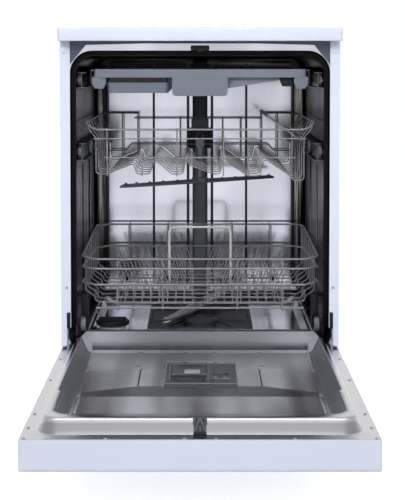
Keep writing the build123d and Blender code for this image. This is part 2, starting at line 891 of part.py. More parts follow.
def recess_stage():
    """The raised middle of the recess floor, with a ramp that narrows towards both sides."""
    inner_x, outer_x = stage_x
    foot_y, mid_y, side_y = stage_ramp_ys
    z0 = recess_floor - liner_sheet / 2
    z1 = recess_floor + stage_height
    right = [(inner_x, mid_y), (outer_x, side_y), (outer_x, stage_far - 18), (inner_x + 50, stage_far)]
    left = [(-x, y) for x, y in right[::-1]]
    stage = plate_xy(right + left, z0, z1)
    stage = stage + plate_yz([(foot_y, recess_floor), (foot_y, z0), (mid_y, z0), (mid_y, z1)], -inner_x, inner_x)
    ends = []
    for x, top_y in ((inner_x, mid_y), (outer_x, side_y)):
        corners = [(x, foot_y, recess_floor), (x, foot_y, z0), (x, top_y, z0), (x, top_y, z1)]
        ends.append(make_face(Polyline(*corners, close=True)))
    wing = loft(ends)
    return stage + wing + mirrored(wing)


def make_door_liner():
    """Pressed steel liner: flange, hollow raised rim, sunk floor, hinge-end lip and ribs."""
    flange = block(
        -door_half + 1.5,
        door_half - 1.5,
        door_near + 3,
        liner_flange_far,
        inner_face - liner_sheet,
        inner_face,
    )
    skirt_half = rim_outer_half - 2.0
    tail = block(
        -skirt_half, skirt_half, liner_flange_far, rim_far, inner_face - liner_sheet, inner_face
    )
    body = flange + tail + liner_outer(0.0)
    body = body - (liner_outer(liner_sheet) - liner_recess(liner_sheet))
    body = body + (liner_recess(liner_sheet) & block(-300, 300, door_near, rim_far, 0, lip_z))
    body = body - liner_recess(0.0)
    lip = plate_yz(
        [
            (rim_far - 10, recess_floor),
            (rim_far - 10, recess_floor - liner_sheet),
            (recess_far, recess_floor - liner_sheet),
            (recess_far + 2, recess_floor + 2),
            (lip_far + 1, lip_z),
            (lip_far - 6, lip_z + 2),
            (lip_far - 6, lip_z + 1),
            (lip_far, lip_z - 1),
            (recess_far, recess_floor + 2),
            (recess_far - 2, recess_floor),
        ],
        -lip_half_x,
        lip_half_x,
    )
    body = body - block(-lip_half_x, lip_half_x, rim_far - 9, rim_far + 60, recess_floor, cabinet_height)
    body = body + lip
    for side in (-1, 1):
        wall = plate_yz(
            [
                (rim_far - 1, recess_floor - liner_sheet),
                (recess_far, recess_floor - liner_sheet),
                (recess_far + 2, recess_floor + 2),
                (lip_far + 1, lip_z),
                (lip_far - 6, lip_z + 2),
                (rim_far - 1, lip_z - 4),
            ],
            side * lip_half_x,
            side * (lip_half_x - liner_sheet),
        )
        body = body + wall
        notch = block(
            side * 274, side * (door_half + 1), liner_flange_far - 60, hinge_y + 20, inner_face - 3, inner_face + 1
        )
        body = body - notch
        for x, y, long in ((128.0, front - 5.0, 60.0), (32.0, front + 10.0, 44.0)):
            rib = rounded_slab(
                side * x - 4, side * x + 4, y - long, y + long, recess_floor, recess_floor + 2.5, 3.9
            )
            body = body + rib
    x0, x1 = dispenser_x
    y0, y1 = dispenser_y
    edge = dispenser_bezel + 2 * touch
    window = rounded_slab(x0 - edge, x1 + edge, y0 - edge, y1 + edge, recess_floor, recess_floor + 9, 8.0)
    body = body + (recess_stage() - window)
    pocket = block(x0, x1, y0, y1, recess_floor - 3, recess_floor + 1)
    body = body - pocket
    slot = block(-8, 8, latch_slot_near, latch_slot_far, inner_face - 4, inner_face + 12)
    seat = block(-latch_half, latch_half, latch_slot_far, latch_far, inner_face + 0.0, inner_face + 30)
    return body - slot - seat


stage_height = 4.0
stage_x = (120.0, 225.0)
stage_ramp_ys = (front - 294.0, front - 235.0, front - 281.0)
stage_far = front - 98.0
dispenser_x = (-64.0, 68.0)
dispenser_y = (front - 236.0, front - 70.0)
dispenser_bezel = 5.0
latch_slot_near = hinge_y - 636.0
latch_slot_far = hinge_y - 618.0
latch_half = 11.0
latch_far = hinge_y - 566.0


def make_control_panel():
    """White top moulding of the door with a grip pocket, key holes and a display opening."""
    shell = block(
        -door_half, door_half, door_near, door_near + control_depth, outer_face, inner_face - liner_sheet - touch
    )
    shell = fillet(shell.edges().filter_by(Axis.X).group_by(Axis.Z)[0].sort_by(Axis.Y)[:1], 8.0)
    shell = fillet(shell.edges().filter_by(Axis.Z).sort_by(Axis.Y)[:2], 3.0)
    inside = block(
        -door_half + control_wall,
        door_half - control_wall,
        door_near + control_wall,
        door_near + control_depth + 1,
        outer_face + control_wall,
        inner_face + 1,
    )
    shell = shell - inside
    front_lip = block(
        -door_half + 1, door_half - 1, door_near, door_near + 3 - touch, inner_face - 3, inner_face
    )
    shell = shell + front_lip
    grip_outer = frustum(
        (-78, 78, door_near + 66, door_near + 118),
        (-70, 70, door_near + 60, door_near + 112),
        outer_face + 0.5,
        outer_face + 30,
        14.0,
        12.0,
    )
    grip = frustum(
        (-75, 75, door_near + 69, door_near + 115),
        (-67, 67, door_near + 63, door_near + 109),
        outer_face - 0.5,
        outer_face + 27,
        12.0,
        10.0,
    )
    shell = shell + grip_outer - grip
    for x, _ in key_places:
        shell = shell - rod("z", (x, key_y), outer_face - 1, outer_face + 6, key_r + 0.4)
    window = block(*window_x, key_y - 13, key_y + 13, outer_face - 1, outer_face + 6)
    return shell - window


key_r = 8.0
key_y = door_near + 34.0
key_travel = 1.5
key_places = [(-232.0, "power_button"), (-120.0, "program_button"), (232.0, "start_button")]
window_x = (60.0, 150.0)


def make_key(x):
    """A round push key with a flange behind the panel."""
    cap = rod("z", (x, key_y), outer_face - 1.5, outer_face + 8.0, key_r)
    return cap + rod("z", (x, key_y), outer_face + control_wall + touch, outer_face + 8.0, key_r + 3.5, 8)


def make_window():
    pane = block(
        window_x[0] + 0.2, window_x[1] - 0.2, key_y - 12.8, key_y + 12.8, outer_face, outer_face + control_wall
    )
    ledge = block(
        window_x[0] - 3,
        window_x[1] + 3,
        key_y - 16,
        key_y + 16,
        outer_face + control_wall,
        outer_face + control_wall + 2,
    )
    return pane + ledge


def make_board():
    """Control circuit board on its stand-offs, behind the keys."""
    z0 = outer_face + 8.0 + key_travel + 1.5
    board = block(-250, 250, key_y - 22, key_y + 22, z0, z0 + 1.6)
    for x in (-180.0, -60.0, 20.0, 180.0):
        board = board + rod("z", (x, key_y + 16), outer_face + control_wall, z0, 3.4, 6)
    board = board + block(60, 150, key_y - 10, key_y + 10, z0 - 5.0, z0)
    for x in (-150.0, -20.0, 190.0):
        board = board + block(x - 14, x + 14, key_y - 12, key_y + 4, z0 + 1.6, z0 + 14)
    return board


def make_latch():
    """Door latch: housing under the flange, wedge-shaped guide on the rim."""
    case = block(-24, 24, latch_slot_near - 4, latch_slot_far + 26, inner_face - 28, inner_face - liner_sheet - touch)
    cavity = block(-9, 9, latch_slot_near, latch_slot_far, inner_face - 22, inner_face + 1)
    guide = plate_yz(
        [
            (latch_slot_far + touch, inner_face + touch),
            (latch_far - touch, inner_face + touch),
            (latch_far - touch, inner_face + 15),
            (latch_slot_far + 22, inner_face + 15),
            (latch_slot_far + touch, inner_face + 5),
        ],
        -latch_half + touch,
        latch_half - touch,
    )
    return [case - cavity, guide]


lid_x = (-57.0, 13.0)
lid_length = 78.0
lid_travel = 52.0
lid_far = dispenser_y[1] - 12.0
chamber_near = dispenser_y[0] + 30.0
chamber_far = chamber_near + 50.0
face_plate = 6.0
flap_x = (20.0, 60.0)
flap_near = dispenser_y[0] + 28.0
flap_far = flap_near + 55.0
flap_pin_r = 2.0
flap_pin_z = recess_floor + face_plate + 1.2


def make_dispenser():
    """Detergent and rinse-aid dispenser set in the liner, with an open powder chamber."""
    x0, x1 = dispenser_x
    y0, y1 = dispenser_y
    body = block(x0 + touch, x1 - touch, y0 + touch, y1 - touch, outer_face + 14, recess_floor)
    edge = dispenser_bezel
    top = recess_floor + face_plate
    face = rounded_slab(x0 - edge, x1 + edge, y0 - edge, y1 + edge, recess_floor + touch, top, 8.0)
    body = body + block(x0 + touch, x1 - touch, y0 + touch, y1 - touch, outer_face + 14, recess_floor + 2)
    case = body + face
    chamber = block(lid_x[0] + 4, lid_x[1] - 4, chamber_near + 4, chamber_far - 2, outer_face + 22, recess_floor + 20)
    chamber = fillet(chamber.edges().filter_by(Axis.Z), 6.0)
    case = case - chamber
    track = block(
        lid_x[0] - touch,
        lid_x[1] + touch,
        lid_far - lid_length - lid_travel - touch,
        lid_far + touch,
        recess_floor + 2.5,
        recess_floor + 20,
    )
    case = case - track
    bed = block(
        flap_x[0] - touch, flap_x[1] + touch, flap_near - touch, flap_far + 7, recess_floor + 2.5, recess_floor + 20
    )
    case = case - bed
    well = rod("z", (sum(flap_x) / 2, flap_near + 36), outer_face + 22, recess_floor + 20, 12.0)
    case = case - well
    for x in (flap_x[0] + 4, flap_x[1] - 10):
        ear = block(x, x + 6, flap_far + 0.6, flap_far + 7, recess_floor + 2, flap_pin_z + 2.8)
        case = case + ear
    pin = rod("x", (flap_far + 3, flap_pin_z), flap_x[0] + 4, flap_x[1] - 4, flap_pin_r)
    return case + pin


def make_lid():
    """Sliding detergent lid with a raised rim and a finger rib."""
    z0 = recess_floor + 2.5 + touch
    lid = block(lid_x[0], lid_x[1], lid_far - lid_length, lid_far, z0, z0 + 3.0)
    lid = chamfer(lid.edges().filter_by(Axis.Y).sort_by(Axis.Z)[-2:], 1.0)
    rib = block(lid_x[0] + 8, lid_x[1] - 8, lid_far - lid_length + 5, lid_far - lid_length + 9, z0 + 3, z0 + 6)
    return lid + rib


def make_flap():
    """Hinged rinse-aid flap with a latch tab at its free end."""
    z0 = recess_floor + 2.5 + touch
    flap = block(flap_x[0], flap_x[1], flap_near, flap_far - 1.2, z0, z0 + 2.5)
    tab = block(flap_x[0] + 8, flap_x[1] - 8, flap_near + 2, flap_near + 18, z0 + 2.5, z0 + 5.5)
    tab = chamfer(tab.edges().filter_by(Axis.X).sort_by(Axis.Z)[-2:], 2.0)
    knuckle_x = (flap_x[0] + 11.5, flap_x[1] - 11.5)
    knuckle = rod("x", (flap_far + 3, flap_pin_z), *knuckle_x, flap_pin_r + 1.6)
    strap = block(*knuckle_x, flap_far - 1.5, flap_far + 2.0, z0 + 0.4, z0 + 2.5)
    bore = rod("x", (flap_far + 3, flap_pin_z), knuckle_x[0] - 1, knuckle_x[1] + 1, flap_pin_r + running_gap)
    return flap + tab + knuckle + strap - bore


def make_liner_screws():
    """Countersunk-looking pan screws around the liner flange."""
    spots = [(x, door_near + 5.5) for x in (-155.0, -26.0, 26.0, 155.0)]
    for y in (door_near + 8.0, door_near + 66.0, front - 453.0, front - 225.0, front - 60.0):
        spots.extend([(-half + 8.5, y), (half - 8.5, y)])
    screws = []
    for spot in spots:
        screws.append(rod("z", spot, inner_face, inner_face + 1.5, 3.0, 8))
    return screws


save("door_skin", make_door_skin())
save("door_liner", make_door_liner())
save("control_panel", make_control_panel())
save("display_window", make_window())
save("control_board", make_board())
save("door_latch", *make_latch())
save("dispenser_body", make_dispenser())
save("detergent_lid", make_lid())
save("rinse_flap", make_flap())
save("liner_screws", *make_liner_screws())
for key_x, key_name in key_places:
    save(key_name, make_key(key_x))


# Rails, rollers and wheels


def double_rail(z, wheel_r):
    """Left double channel: rollers on the tub run in its outer side, rack wheels in its inner side."""
    inside = wheel_r + wheel_gap
    outer_x = -tub_half + 2.0
    inner_x = -rail_web_x + rail_thickness / 2 + wheel_width + 1.5
    y1 = rail_front + rail_length
    web = block(
        -rail_web_x - rail_thickness / 2,
        -rail_web_x + rail_thickness / 2,
        rail_front,
        y1,
        z - inside - rail_thickness,
        z + inside + rail_thickness,
    )
    rail = web
    for side in (-1, 1):
        low = z + side * inside
        rail = rail + block(outer_x, inner_x, rail_front, y1, low, low + side * rail_thickness)
    return rail


def wheel(x0, x1, y, z, radius, bore):
    """A plain wheel with a bored centre."""
    return rod("x", (y, z), x0, x1, radius) - rod("x", (y, z), x0 - 1, x1 + 1, bore)


roller_outer = -tub_half + 2.0
roller_inner = roller_outer + wheel_width
wheel_outer = -rail_web_x + rail_thickness / 2 + 0.7
wheel_inner = wheel_outer + wheel_width
upper_roller_ys = (rail_front + 20.0, rail_front + 98.0)
tray_roller_y = rail_front + 20.0
upper_wheel_ys = (rail_front + 170.0, rail_front + 405.0)
tray_wheel_ys = (rail_front + 190.0, rail_front + 405.0)


def make_rail_axles():
    """Studs through the tub wall that carry the rollers."""
    spots = [(y, upper_rail_z) for y in upper_roller_ys] + [(tray_roller_y, tray_rail_z)]
    studs = []
    for spot in spots:
        stud = rod("x", spot, -tub_half, roller_inner, axle_r)
        studs.extend(both_sides(stud + rod("x", spot, -tub_half, roller_outer - touch, axle_r + 3.0, 6)))
    return studs


def roller_pair(y, z, radius):
    return both_sides(wheel(roller_outer, roller_inner, y, z, radius, axle_r + running_gap))


def rack_wheel_pair(y, z, radius):
    return both_sides(wheel(wheel_outer, wheel_inner, y, z, radius, axle_r + running_gap))


save("rail_axles", *make_rail_axles())
save("upper_rails", *both_sides(double_rail(upper_rail_z, upper_wheel_r)))
save("tray_rails", *both_sides(double_rail(tray_rail_z, tray_wheel_r)))
save("upper_rollers_front", *roller_pair(upper_roller_ys[0], upper_rail_z, upper_wheel_r))
save("upper_rollers_rear", *roller_pair(upper_roller_ys[1], upper_rail_z, upper_wheel_r))
save("tray_rollers", *roller_pair(tray_roller_y, tray_rail_z, tray_wheel_r))
save("upper_wheels_front", *rack_wheel_pair(upper_wheel_ys[0], upper_rail_z, upper_wheel_r))
save("upper_wheels_rear", *rack_wheel_pair(upper_wheel_ys[1], upper_rail_z, upper_wheel_r))
save(
    "tray_wheels",
    *rack_wheel_pair(tray_wheel_ys[1], tray_rail_z, tray_wheel_r),
)


# Lower basket

lower_cross_ys = [
    lower_front + 40 + (lower_rear - lower_front - 70) * k / (lower_cross_count - 1)
    for k in range(lower_cross_count)
]
lower_pitch = lower_cross_ys[1] - lower_cross_ys[0]
lower_wheel_ys = (lower_cross_ys[0] - lower_pitch / 2, lower_cross_ys[13] + lower_pitch / 2)
clip_half = lower_pitch / 2 - wire_corner - weld_gap
clip_top = lower_floor_z + 26.0
lower_wheel_z = tub_floor + touch + lower_wheel_r
lower_long_xs = (180.0, 82.0)
lower_out = lower_half + wire_r + rim_r + weld_gap
tine_pitch = 18.7
tine_xs = [lower_long_xs[1] + tine_pitch * (k + 0.5) for k in range(-4, 6)]
tine_row_ys = [lower_cross_ys[k] + lower_pitch / 2 for k in (0, 3, 6, 9)]
folding_row_y = lower_cross_ys[12] + lower_pitch / 2
tine_upright = 26.0
tine_lean = radians(19)
tine_r = 1.8
fold_pin_z = lower_floor_z + 4.5
handle_y = lower_cross_ys[7]
handle_half = 72.0
handle_top = 384.0
handle_r = 3.0


def rim_z(y):
    """Height of the lower basket's rim, which rises to the rear."""
    share = (y - lower_front) / (lower_rear - lower_front)
    return lower_rim_front_z + share * (lower_rim_rear_z - lower_rim_front_z)


def lower_loop(front_z, rear_z):
    """A wire around the basket with cut-off front corners and rounded rear ones."""
    corner = 24.0
    toe = front_z + (rear_z - front_z) * 0.08
    right = [
        (lower_floor_half, lower_front, front_z),
        (lower_out, lower_front + 35, toe),
        (lower_out, lower_rear - corner, rear_z),
        (lower_out - corner, lower_rear, rear_z),
    ]
    left = [(-x, y, z) for x, y, z in right[::-1]]
    return wire([left[-1]] + right + left[:-1], rim_r, flat_up=(0, 1, 0), closed=True)


def lower_front_wire(z):
    """The third front wire, which wraps round both front corners."""
    right = [
        (lower_floor_half, lower_front, z),
        (lower_out, lower_front + 35, z),
        (lower_out, lower_cross_ys[1] + 6, z),
    ]
    left = [(-x, y, z) for x, y, z in right[::-1]]
    return wire(left + right, rim_r, flat_up=(1, 0, 0))


def lower_cross(y):
    """A cross wire: up both sides with the stepped lower corners."""
    side = [
        (lower_half, y, rim_z(y) + 3),
        (lower_half, y, lower_floor_z + 27),
        (lower_floor_half + 7, y, lower_floor_z + 14),
        (lower_floor_half + 5, y, lower_floor_z + 5),
        (lower_floor_half - 3, y, lower_floor_z),
    ]
    left = [(-x, b, c) for x, b, c in side]
    return wire(left + side[::-1], wire_r, flat_up=(1, 0, 0))


def lower_long(x):
    """A lengthwise wire under the floor, with dropped ends, up to the rim at front and rear."""
    y0 = lower_front + rim_r + wire_r + weld_gap
    y1 = lower_rear - rim_r - wire_r - weld_gap
    z = lower_floor_z - 2 * wire_r
    points = [
        (x, y0, lower_rim_front_z + 1),
        (x, y0, z - 10),
        (x, y0 + 12, z),
        (x, y1 - 12, z),
        (x, y1, z + 12),
        (x, y1, rim_z(y1)),
    ]
    return wire(points, wire_r, flat_up=(0, 1, 0))


def tine(x, y, z0, height):
    """One prong: upright at its foot, then leaning outwards."""
    side = 1 if x > 0 else -1
    lean = side * (height - tine_upright) * tan(tine_lean)
    points = [(x, y, z0), (x, y, z0 + tine_upright), (x + lean, y, z0 + height)]
    return wire(points, tine_r, flat_up=(0, 1, 0))


def tine_height(y):
    """Prongs grow from the front row to the rear row."""
    share = (y - tine_row_ys[0]) / (folding_row_y - tine_row_ys[0])
    return 50.0 + 28.0 * share


def tine_row(y):
    """Prongs of the left and right halves, each half welded on its own base wire."""
    pieces = []
    for side in (-1, 1):
        ends = [(side * (tine_xs[0] - 7), y, lower_floor_z), (side * (tine_xs[-1] + 9), y, lower_floor_z)]
        pieces.append(wire(ends, wire_r))
        for x in tine_xs:
            pieces.append(tine(side * x, y, lower_floor_z + wire_r, tine_height(y)))
    return pieces


def make_lower_basket():
    pieces = [
        lower_loop(lower_rim_front_z, lower_rim_rear_z),
        lower_loop(lower_rim_front_z - 21, lower_rim_rear_z - 56),
        lower_front_wire(lower_rim_front_z - 56),
    ]
    low = lower_floor_half - 3
    base = [(-low, lower_front, lower_floor_z), (low, lower_front, lower_floor_z)]
    pieces.append(wire(base, rim_r, flat_up=(0, 1, 0)))
    pieces.extend(lower_cross(y) for y in lower_cross_ys)
    for x in lower_long_xs:
        pieces.extend([lower_long(-x), lower_long(x)])
    return pieces


def make_plate_prongs():
    """The fixed rows of prongs that stand between the plates."""
    return [piece for y in tine_row_ys for piece in tine_row(y)]


def make_folding_tines():
    """The rear row of prongs, on two bars that turn in clips."""
    pieces = []
    for side in (-1, 1):
        ends = [(side * x, folding_row_y, fold_pin_z) for x in (tine_xs[0] - 7, tine_xs[-1] + 9)]
        pieces.append(wire(ends, wire_r))
        for x in tine_xs:
            height = tine_height(folding_row_y)
            pieces.append(tine(side * x, folding_row_y, fold_pin_z + wire_r, height))
    return pieces


def make_wheel_clips():
    """Moulded clips: four that carry the wheels, four that hold the folding row."""
    clips = []
    for y in lower_wheel_ys:
        x0 = lower_wheel_x - 6.0
        arm = block(x0, lower_wheel_x - 1.0, y - 9, y + 9, lower_wheel_z - 7, clip_top)
        cover = block(
            x0,
            lower_wheel_x + lower_wheel_width - 2,
            y - clip_half,
            y + clip_half,
            lower_wheel_z + lower_wheel_r + 2,
            clip_top,
        )
        cover = chamfer(cover.edges().filter_by(Axis.Y).sort_by(Axis.X)[-2:], 3.0)
        stub = rod("x", (y, lower_wheel_z), x0, lower_wheel_x + lower_wheel_width - 0.5, axle_r)
        clips.extend(both_sides(arm + cover + stub))
    seat = lower_floor_z - wire_r
    for x in lower_long_xs:
        clip = block(
            x - 6.5, x + wire_r, folding_row_y - 5, folding_row_y + 5, seat, fold_pin_z + wire_r + 2
        )
        bore_r = wire_corner + running_gap
        bore = rod("x", (folding_row_y, fold_pin_z), x - 7, x + wire_r + 1, bore_r)
        clips.extend(both_sides(clip - bore))
    return clips


def make_lower_handle():
    """Moulded grip that stands across the middle of the basket."""
    foot = lower_floor_z + wire_r
    bend = 9.0
    side = [
        (handle_half, handle_y, foot),
        (handle_half, handle_y, handle_top - bend),
        (handle_half - bend * 0.3, handle_y, handle_top - bend * 0.3),
        (handle_half - bend, handle_y, handle_top),
    ]
    left = [(-x, y, z) for x, y, z in side]
    return wire(left + side[::-1], handle_r, flat_up=(0, 1, 0))


def lower_wheel_pair(y):
    x1 = lower_wheel_x + lower_wheel_width
    return both_sides(wheel(lower_wheel_x, x1, y, lower_wheel_z, lower_wheel_r, axle_r + running_gap))


save("lower_basket", *make_lower_basket())
save("plate_prongs", *make_plate_prongs())
save("folding_tines", *make_folding_tines())
save("wheel_clips", *make_wheel_clips())
save("lower_handle", make_lower_handle())
save("lower_wheels_front", *lower_wheel_pair(lower_wheel_ys[0]))
save("lower_wheels_rear", *lower_wheel_pair(lower_wheel_ys[1]))


# Upper basket

wave_ys = [centre_y + (k - (wave_count - 1) / 2) * wave_pitch for k in range(wave_count)]
upright_front = wave_ys[0] - 2 * wire_r - weld_gap
upright_rear = wave_ys[-1] + 2 * wire_r + weld_gap
upper_front = upright_front - wire_r - rim_r / cos(pi / 6) - weld_gap
upper_rear = upright_rear + wire_r + rim_r + weld_gap
front_wire_y = upright_front - 2 * wire_r - weld_gap
rear_wire_y = upright_rear + 2 * wire_r + weld_gap
left_valleys = [
    (-204, 526),
    (-146, 550),
    (-139, 526),
    (-111, 526),
    (-101.5, 561),
    (-62, 526),
    (-37, 526),
    (-33, 557),
    (-29, 557),
    (-23, 546),
]
right_valleys = [
    (30, 526),
    (44, 526),
    (50.5, 559),
    (106, 522),
    (132, 522),
    (141, 561),
    (199, 522),
    (205, 512),
]
front_uprights = [(-202, 629), (-126, 568), (-50, 629), (51, 629), (106, 568), (200, 629)]
rear_uprights = [(-196, 645), (-157, 645), (-50, 632), (58, 632), (104, 632), (156, 645), (196, 645)]
shelf_pivot = (222.0, 600.0)
shelf_length = 90.0
shelf_tilt = 35.0
shelf_pin_r = 2.5
shelf_waves = (1, 13)


def upper_side(low_z):
    """Side of a cross wire, from the flared rim down to the floor on the right."""
    return [
        (upper_half + 20, upper_rim_z),
        (upper_half + 14, upper_rim_z - 14),
        (upper_half, upper_rim_z - 31),
        (upper_half, low_z + 5),
        (upper_half - 5, low_z),
    ]


def upper_cross(y):
    """A cross wire whose floor rises and dips to hold cups and glasses."""
    left = [(-x, z) for x, z in upper_side(left_valleys[0][1])]
    right = upper_side(right_valleys[-1][1])[::-1]
    outline = left + left_valleys + right_valleys + right
    return wire([(x, y, z) for x, z in outline], wire_r, flat_up=(0, 1, 0))


def upper_rim():
    """The thick rim: along both sides, round the front and part of the rear."""
    side_z = upper_rim_z + rim_r + 1.1
    right = [
        (upper_half - 4, upper_front, upper_rim_z - 11),
        (upper_half + 12, upper_front + 8, upper_rim_z - 5),
        (upper_half + 20, upper_front + 22, side_z),
        (upper_half + 20, upper_rear - 16, side_z),
        (upper_half + 6, upper_rear, upper_rim_z + 6),
        (157, upper_rear, upper_rim_z + 6),
    ]
    left = [(-x, y, z) for x, y, z in right[::-1]]
    return wire(left + right, rim_r, flat_up=(0, 1, 0))


def make_upper_basket():
    """The cross wires and the rim."""
    return [upper_cross(y) for y in wave_ys] + [upper_rim()]


def make_upper_stays():
    """Level and upright wires of the front and the rear."""
    pieces = []
    for z, reach in ((606, upper_half + 2), (565, 207)):
        pieces.append(wire([(-reach, front_wire_y, z), (reach, front_wire_y, z)], wire_r, (0, 1, 0)))
    pieces.append(wire([(-167, rear_wire_y, 630), (157, rear_wire_y, 630)], wire_r, (0, 1, 0)))
    floor = [(-upper_half, 548), (-187, 548), (-175, 564), (172, 564), (187, 548), (upper_half, 548)]
    pieces.append(wire([(x, rear_wire_y, z) for x, z in floor], wire_r, (0, 1, 0)))
    for x, top in front_uprights:
        pieces.append(wire([(x, upright_front, 524), (x, upright_front, top)], wire_r, (0, 1, 0)))
    for x, top in rear_uprights:
        pieces.append(wire([(x, upright_rear, 530), (x, upright_rear, top)], wire_r, (0, 1, 0)))
    return pieces


def make_carriers():
    """Plates with the axles of the rack's wheels, and the eyes of the cup shelf."""
    outer = upper_half + wire_corner + weld_gap
    y0 = upper_wheel_ys[0] - 16
    y1 = upper_wheel_ys[1] + 14
    carrier = plate_yz(
        [
            (y0, upper_rail_z - 8),
            (y0, upper_rail_z + 8),
            (y0 + 8, upper_rail_z + 14),
            (y1 - 8, upper_rail_z + 14),
            (y1, upper_rail_z + 8),
            (y1, upper_rail_z - 8),
            (y1 - 8, upper_rail_z - 14),
            (y0 + 8, upper_rail_z - 14),
        ],
        -outer - 3.0,
        -outer,
    )
    for y in upper_wheel_ys:
        carrier = carrier + rod("x", (y, upper_rail_z), wheel_outer, -outer, axle_r)
        carrier = carrier + rod("x", (y, upper_rail_z), wheel_inner + 0.8, -outer, axle_r + 3.0, 6)
    pieces = both_sides(carrier)
    for k in shelf_waves:
        y = wave_ys[k]
        x, z = shelf_pivot
        eye = block(x - 5, upper_half - wire_corner - weld_gap, y - 3, y + 3, z - 5, z + 5)
        pieces.append(eye - rod("y", shelf_pivot, y - 4, y + 4, shelf_pin_r + running_gap))
    return pieces


def make_cup_shelf():
    """Slotted shelf for cups, on a pin along the right wall of the basket."""
    y0 = wave_ys[shelf_waves[0]] + 4.0
    y1 = wave_ys[shelf_waves[1]] - 4.0
    shelf = block(-shelf_length, -2, y0, y1, -1.5, 1.5)
    lip = block(-shelf_length, -shelf_length + 3, y0, y1, -1.5, 5.0)
    shelf = shelf + lip
    slots = 6
    step = (y1 - y0 - 6) / slots
    for k in range(slots):
        start = y0 + 6 + k * step
        shelf = shelf - block(-shelf_length + 12, -14, start, start + step - 6, -3, 3)
    shelf = shelf + rod("y", (0, 0), y0, y1, shelf_pin_r + 1.5)
    shelf = Rot(0, shelf_tilt, 0) * shelf
    pin = rod("y", (0, 0), y0 - 7.0, y1 + 7.0, shelf_pin_r)
    return Pos(shelf_pivot[0], 0, shelf_pivot[1]) * (shelf + pin)


def make_manifold():
    """Water tube of the upper arm: a mouth that docks at the rear, an elbow and a down tube."""
    mouth = duct_front - port_reach - touch
    tube = rod("y", (0, manifold_z), centre_y - 12, mouth - 14, manifold_r - 3)
    flare = rod("y", (0, manifold_z), mouth - 14, mouth, manifold_r)
    bore = rod("y", (0, manifold_z), mouth - 26, mouth + 1, manifold_r - 4)
    neck = upper_arm_z + 13.0 + touch
    down = rod("z", (0, centre_y), neck, manifold_z, 10.5)
    pin = rod("z", (0, centre_y), upper_arm_z - 3, neck, arm_pin_r)
    return tube + flare + down + pin - bore


save("upper_basket", *make_upper_basket())
save("basket_stays", *make_upper_stays(), *make_carriers())
save("spray_manifold", make_manifold())
save("upper_arm", spray_arm(upper_arm_z, 215.0, 9.0, 19.0, 33.0))
save("cup_shelf", make_cup_shelf())


# Cutlery tray

tray_front = front + 80.0
tray_rear = upper_rear - 4.0
tray_half = 230.0
tray_top = 757.0
tray_band = 18.0
tray_wall = 2.5
trough_x = (-207.0, -64.0)
trough_floor = 705.0
slope_x = (57.0, 200.0)
slope_z = (715.0, 737.0)
grip_half = 60.0
grip_bottom = 699.0
frame_x = 238.0


def make_tray():
    """Cutlery tray: rim, grip plate, deep left trough, level middle and sloping right trough."""
    z0 = tray_top - tray_band
    rim = rounded_slab(-tray_half, tray_half, tray_front, tray_rear, z0, tray_top, 10.0)
    floor_top = z0 + tray_wall
    inner = rounded_slab(
        -tray_half + 3, tray_half - 3, tray_front + 3, tray_rear - 3, floor_top, tray_top + 1, 7.0
    )
    tray = rim - inner
    x0, x1 = trough_x
    y0 = tray_front + 14.0
    y1 = tray_rear - 12.0
    trough = frustum((x0 + 6, x1 - 6, y0 + 6, y1 - 6), (x0, x1, y0, y1), trough_floor, z0 + 1, 9.0, 12.0)
    w = tray_wall
    hollow = frustum(
        (x0 + 6 + w, x1 - 6 - w, y0 + 6 + w, y1 - 6 - w),
        (x0 + w, x1 - w, y0 + w, y1 - w),
        trough_floor + w,
        floor_top + 0.5,
        7.0,
        10.0,
    )
    ramp = plate_xz(
        [(slope_x[0], z0 + 1), (slope_x[0], slope_z[0]), (slope_x[1], slope_z[1]), (slope_x[1], z0 + 1)], y0, y1
    )
    ramp_hollow = plate_xz(
        [
            (slope_x[0] + w, floor_top + 0.5),
            (slope_x[0] + w, slope_z[0] + w),
            (slope_x[1] - w, slope_z[1] + w),
            (slope_x[1] - w, floor_top + 0.5),
        ],
        y0 + w,
        y1 - w,
    )
    tray = tray + trough + ramp - hollow - ramp_hollow
    grip = block(-grip_half, grip_half, tray_front, tray_front + 4.0, grip_bottom, z0 + 1)
    grip = fillet(grip.edges().filter_by(Axis.Y).sort_by(Axis.Z)[:2], 8.0)
    tray = tray + grip
    slots = 7
    step = (y1 - y0 - 20) / slots
    for k in range(slots):
        start = y0 + 14 + k * step
        for a, b in ((x0 + 20, x1 - 20), (-46.0, 40.0), (slope_x[0] + 14, slope_x[1] - 30)):
            tray = tray - block(a, b, start, start + step - 12, trough_floor - 1, floor_top + 1)
    for x in both_ends(219.0):
        lobe = [
            (x - 15, z0 + 1),
            (x - 15, z0 - 12),
            (x - 9, z0 - 24),
            (x + 9, z0 - 24),
            (x + 15, z0 - 12),
            (x + 15, z0 + 1),
        ]
        tray = tray + plate_xz(lobe, tray_front + 2, tray_front + 22)
    for x in both_ends(tray_half + 4.0):
        edge = block(x - 5, x + 5, tray_front + 26, tray_rear - 12, tray_top - 4, tray_top - 1.5)
        tray = tray + edge
    comb_z = z0 + 9.0
    for y in (y0 + 110, y1 - 110):
        comb = block(x0 - 4, x1 + 4, y - 1.5, y + 1.5, floor_top, comb_z)
        teeth = 7
        pitch = (x1 - x0 - 10) / teeth
        for k in range(teeth):
            start = x0 + 5 + k * pitch
            comb = comb - block(start + 3, start + pitch, y - 2, y + 2, comb_z - 5, comb_z + 1)
        tray = tray + comb
    return tray


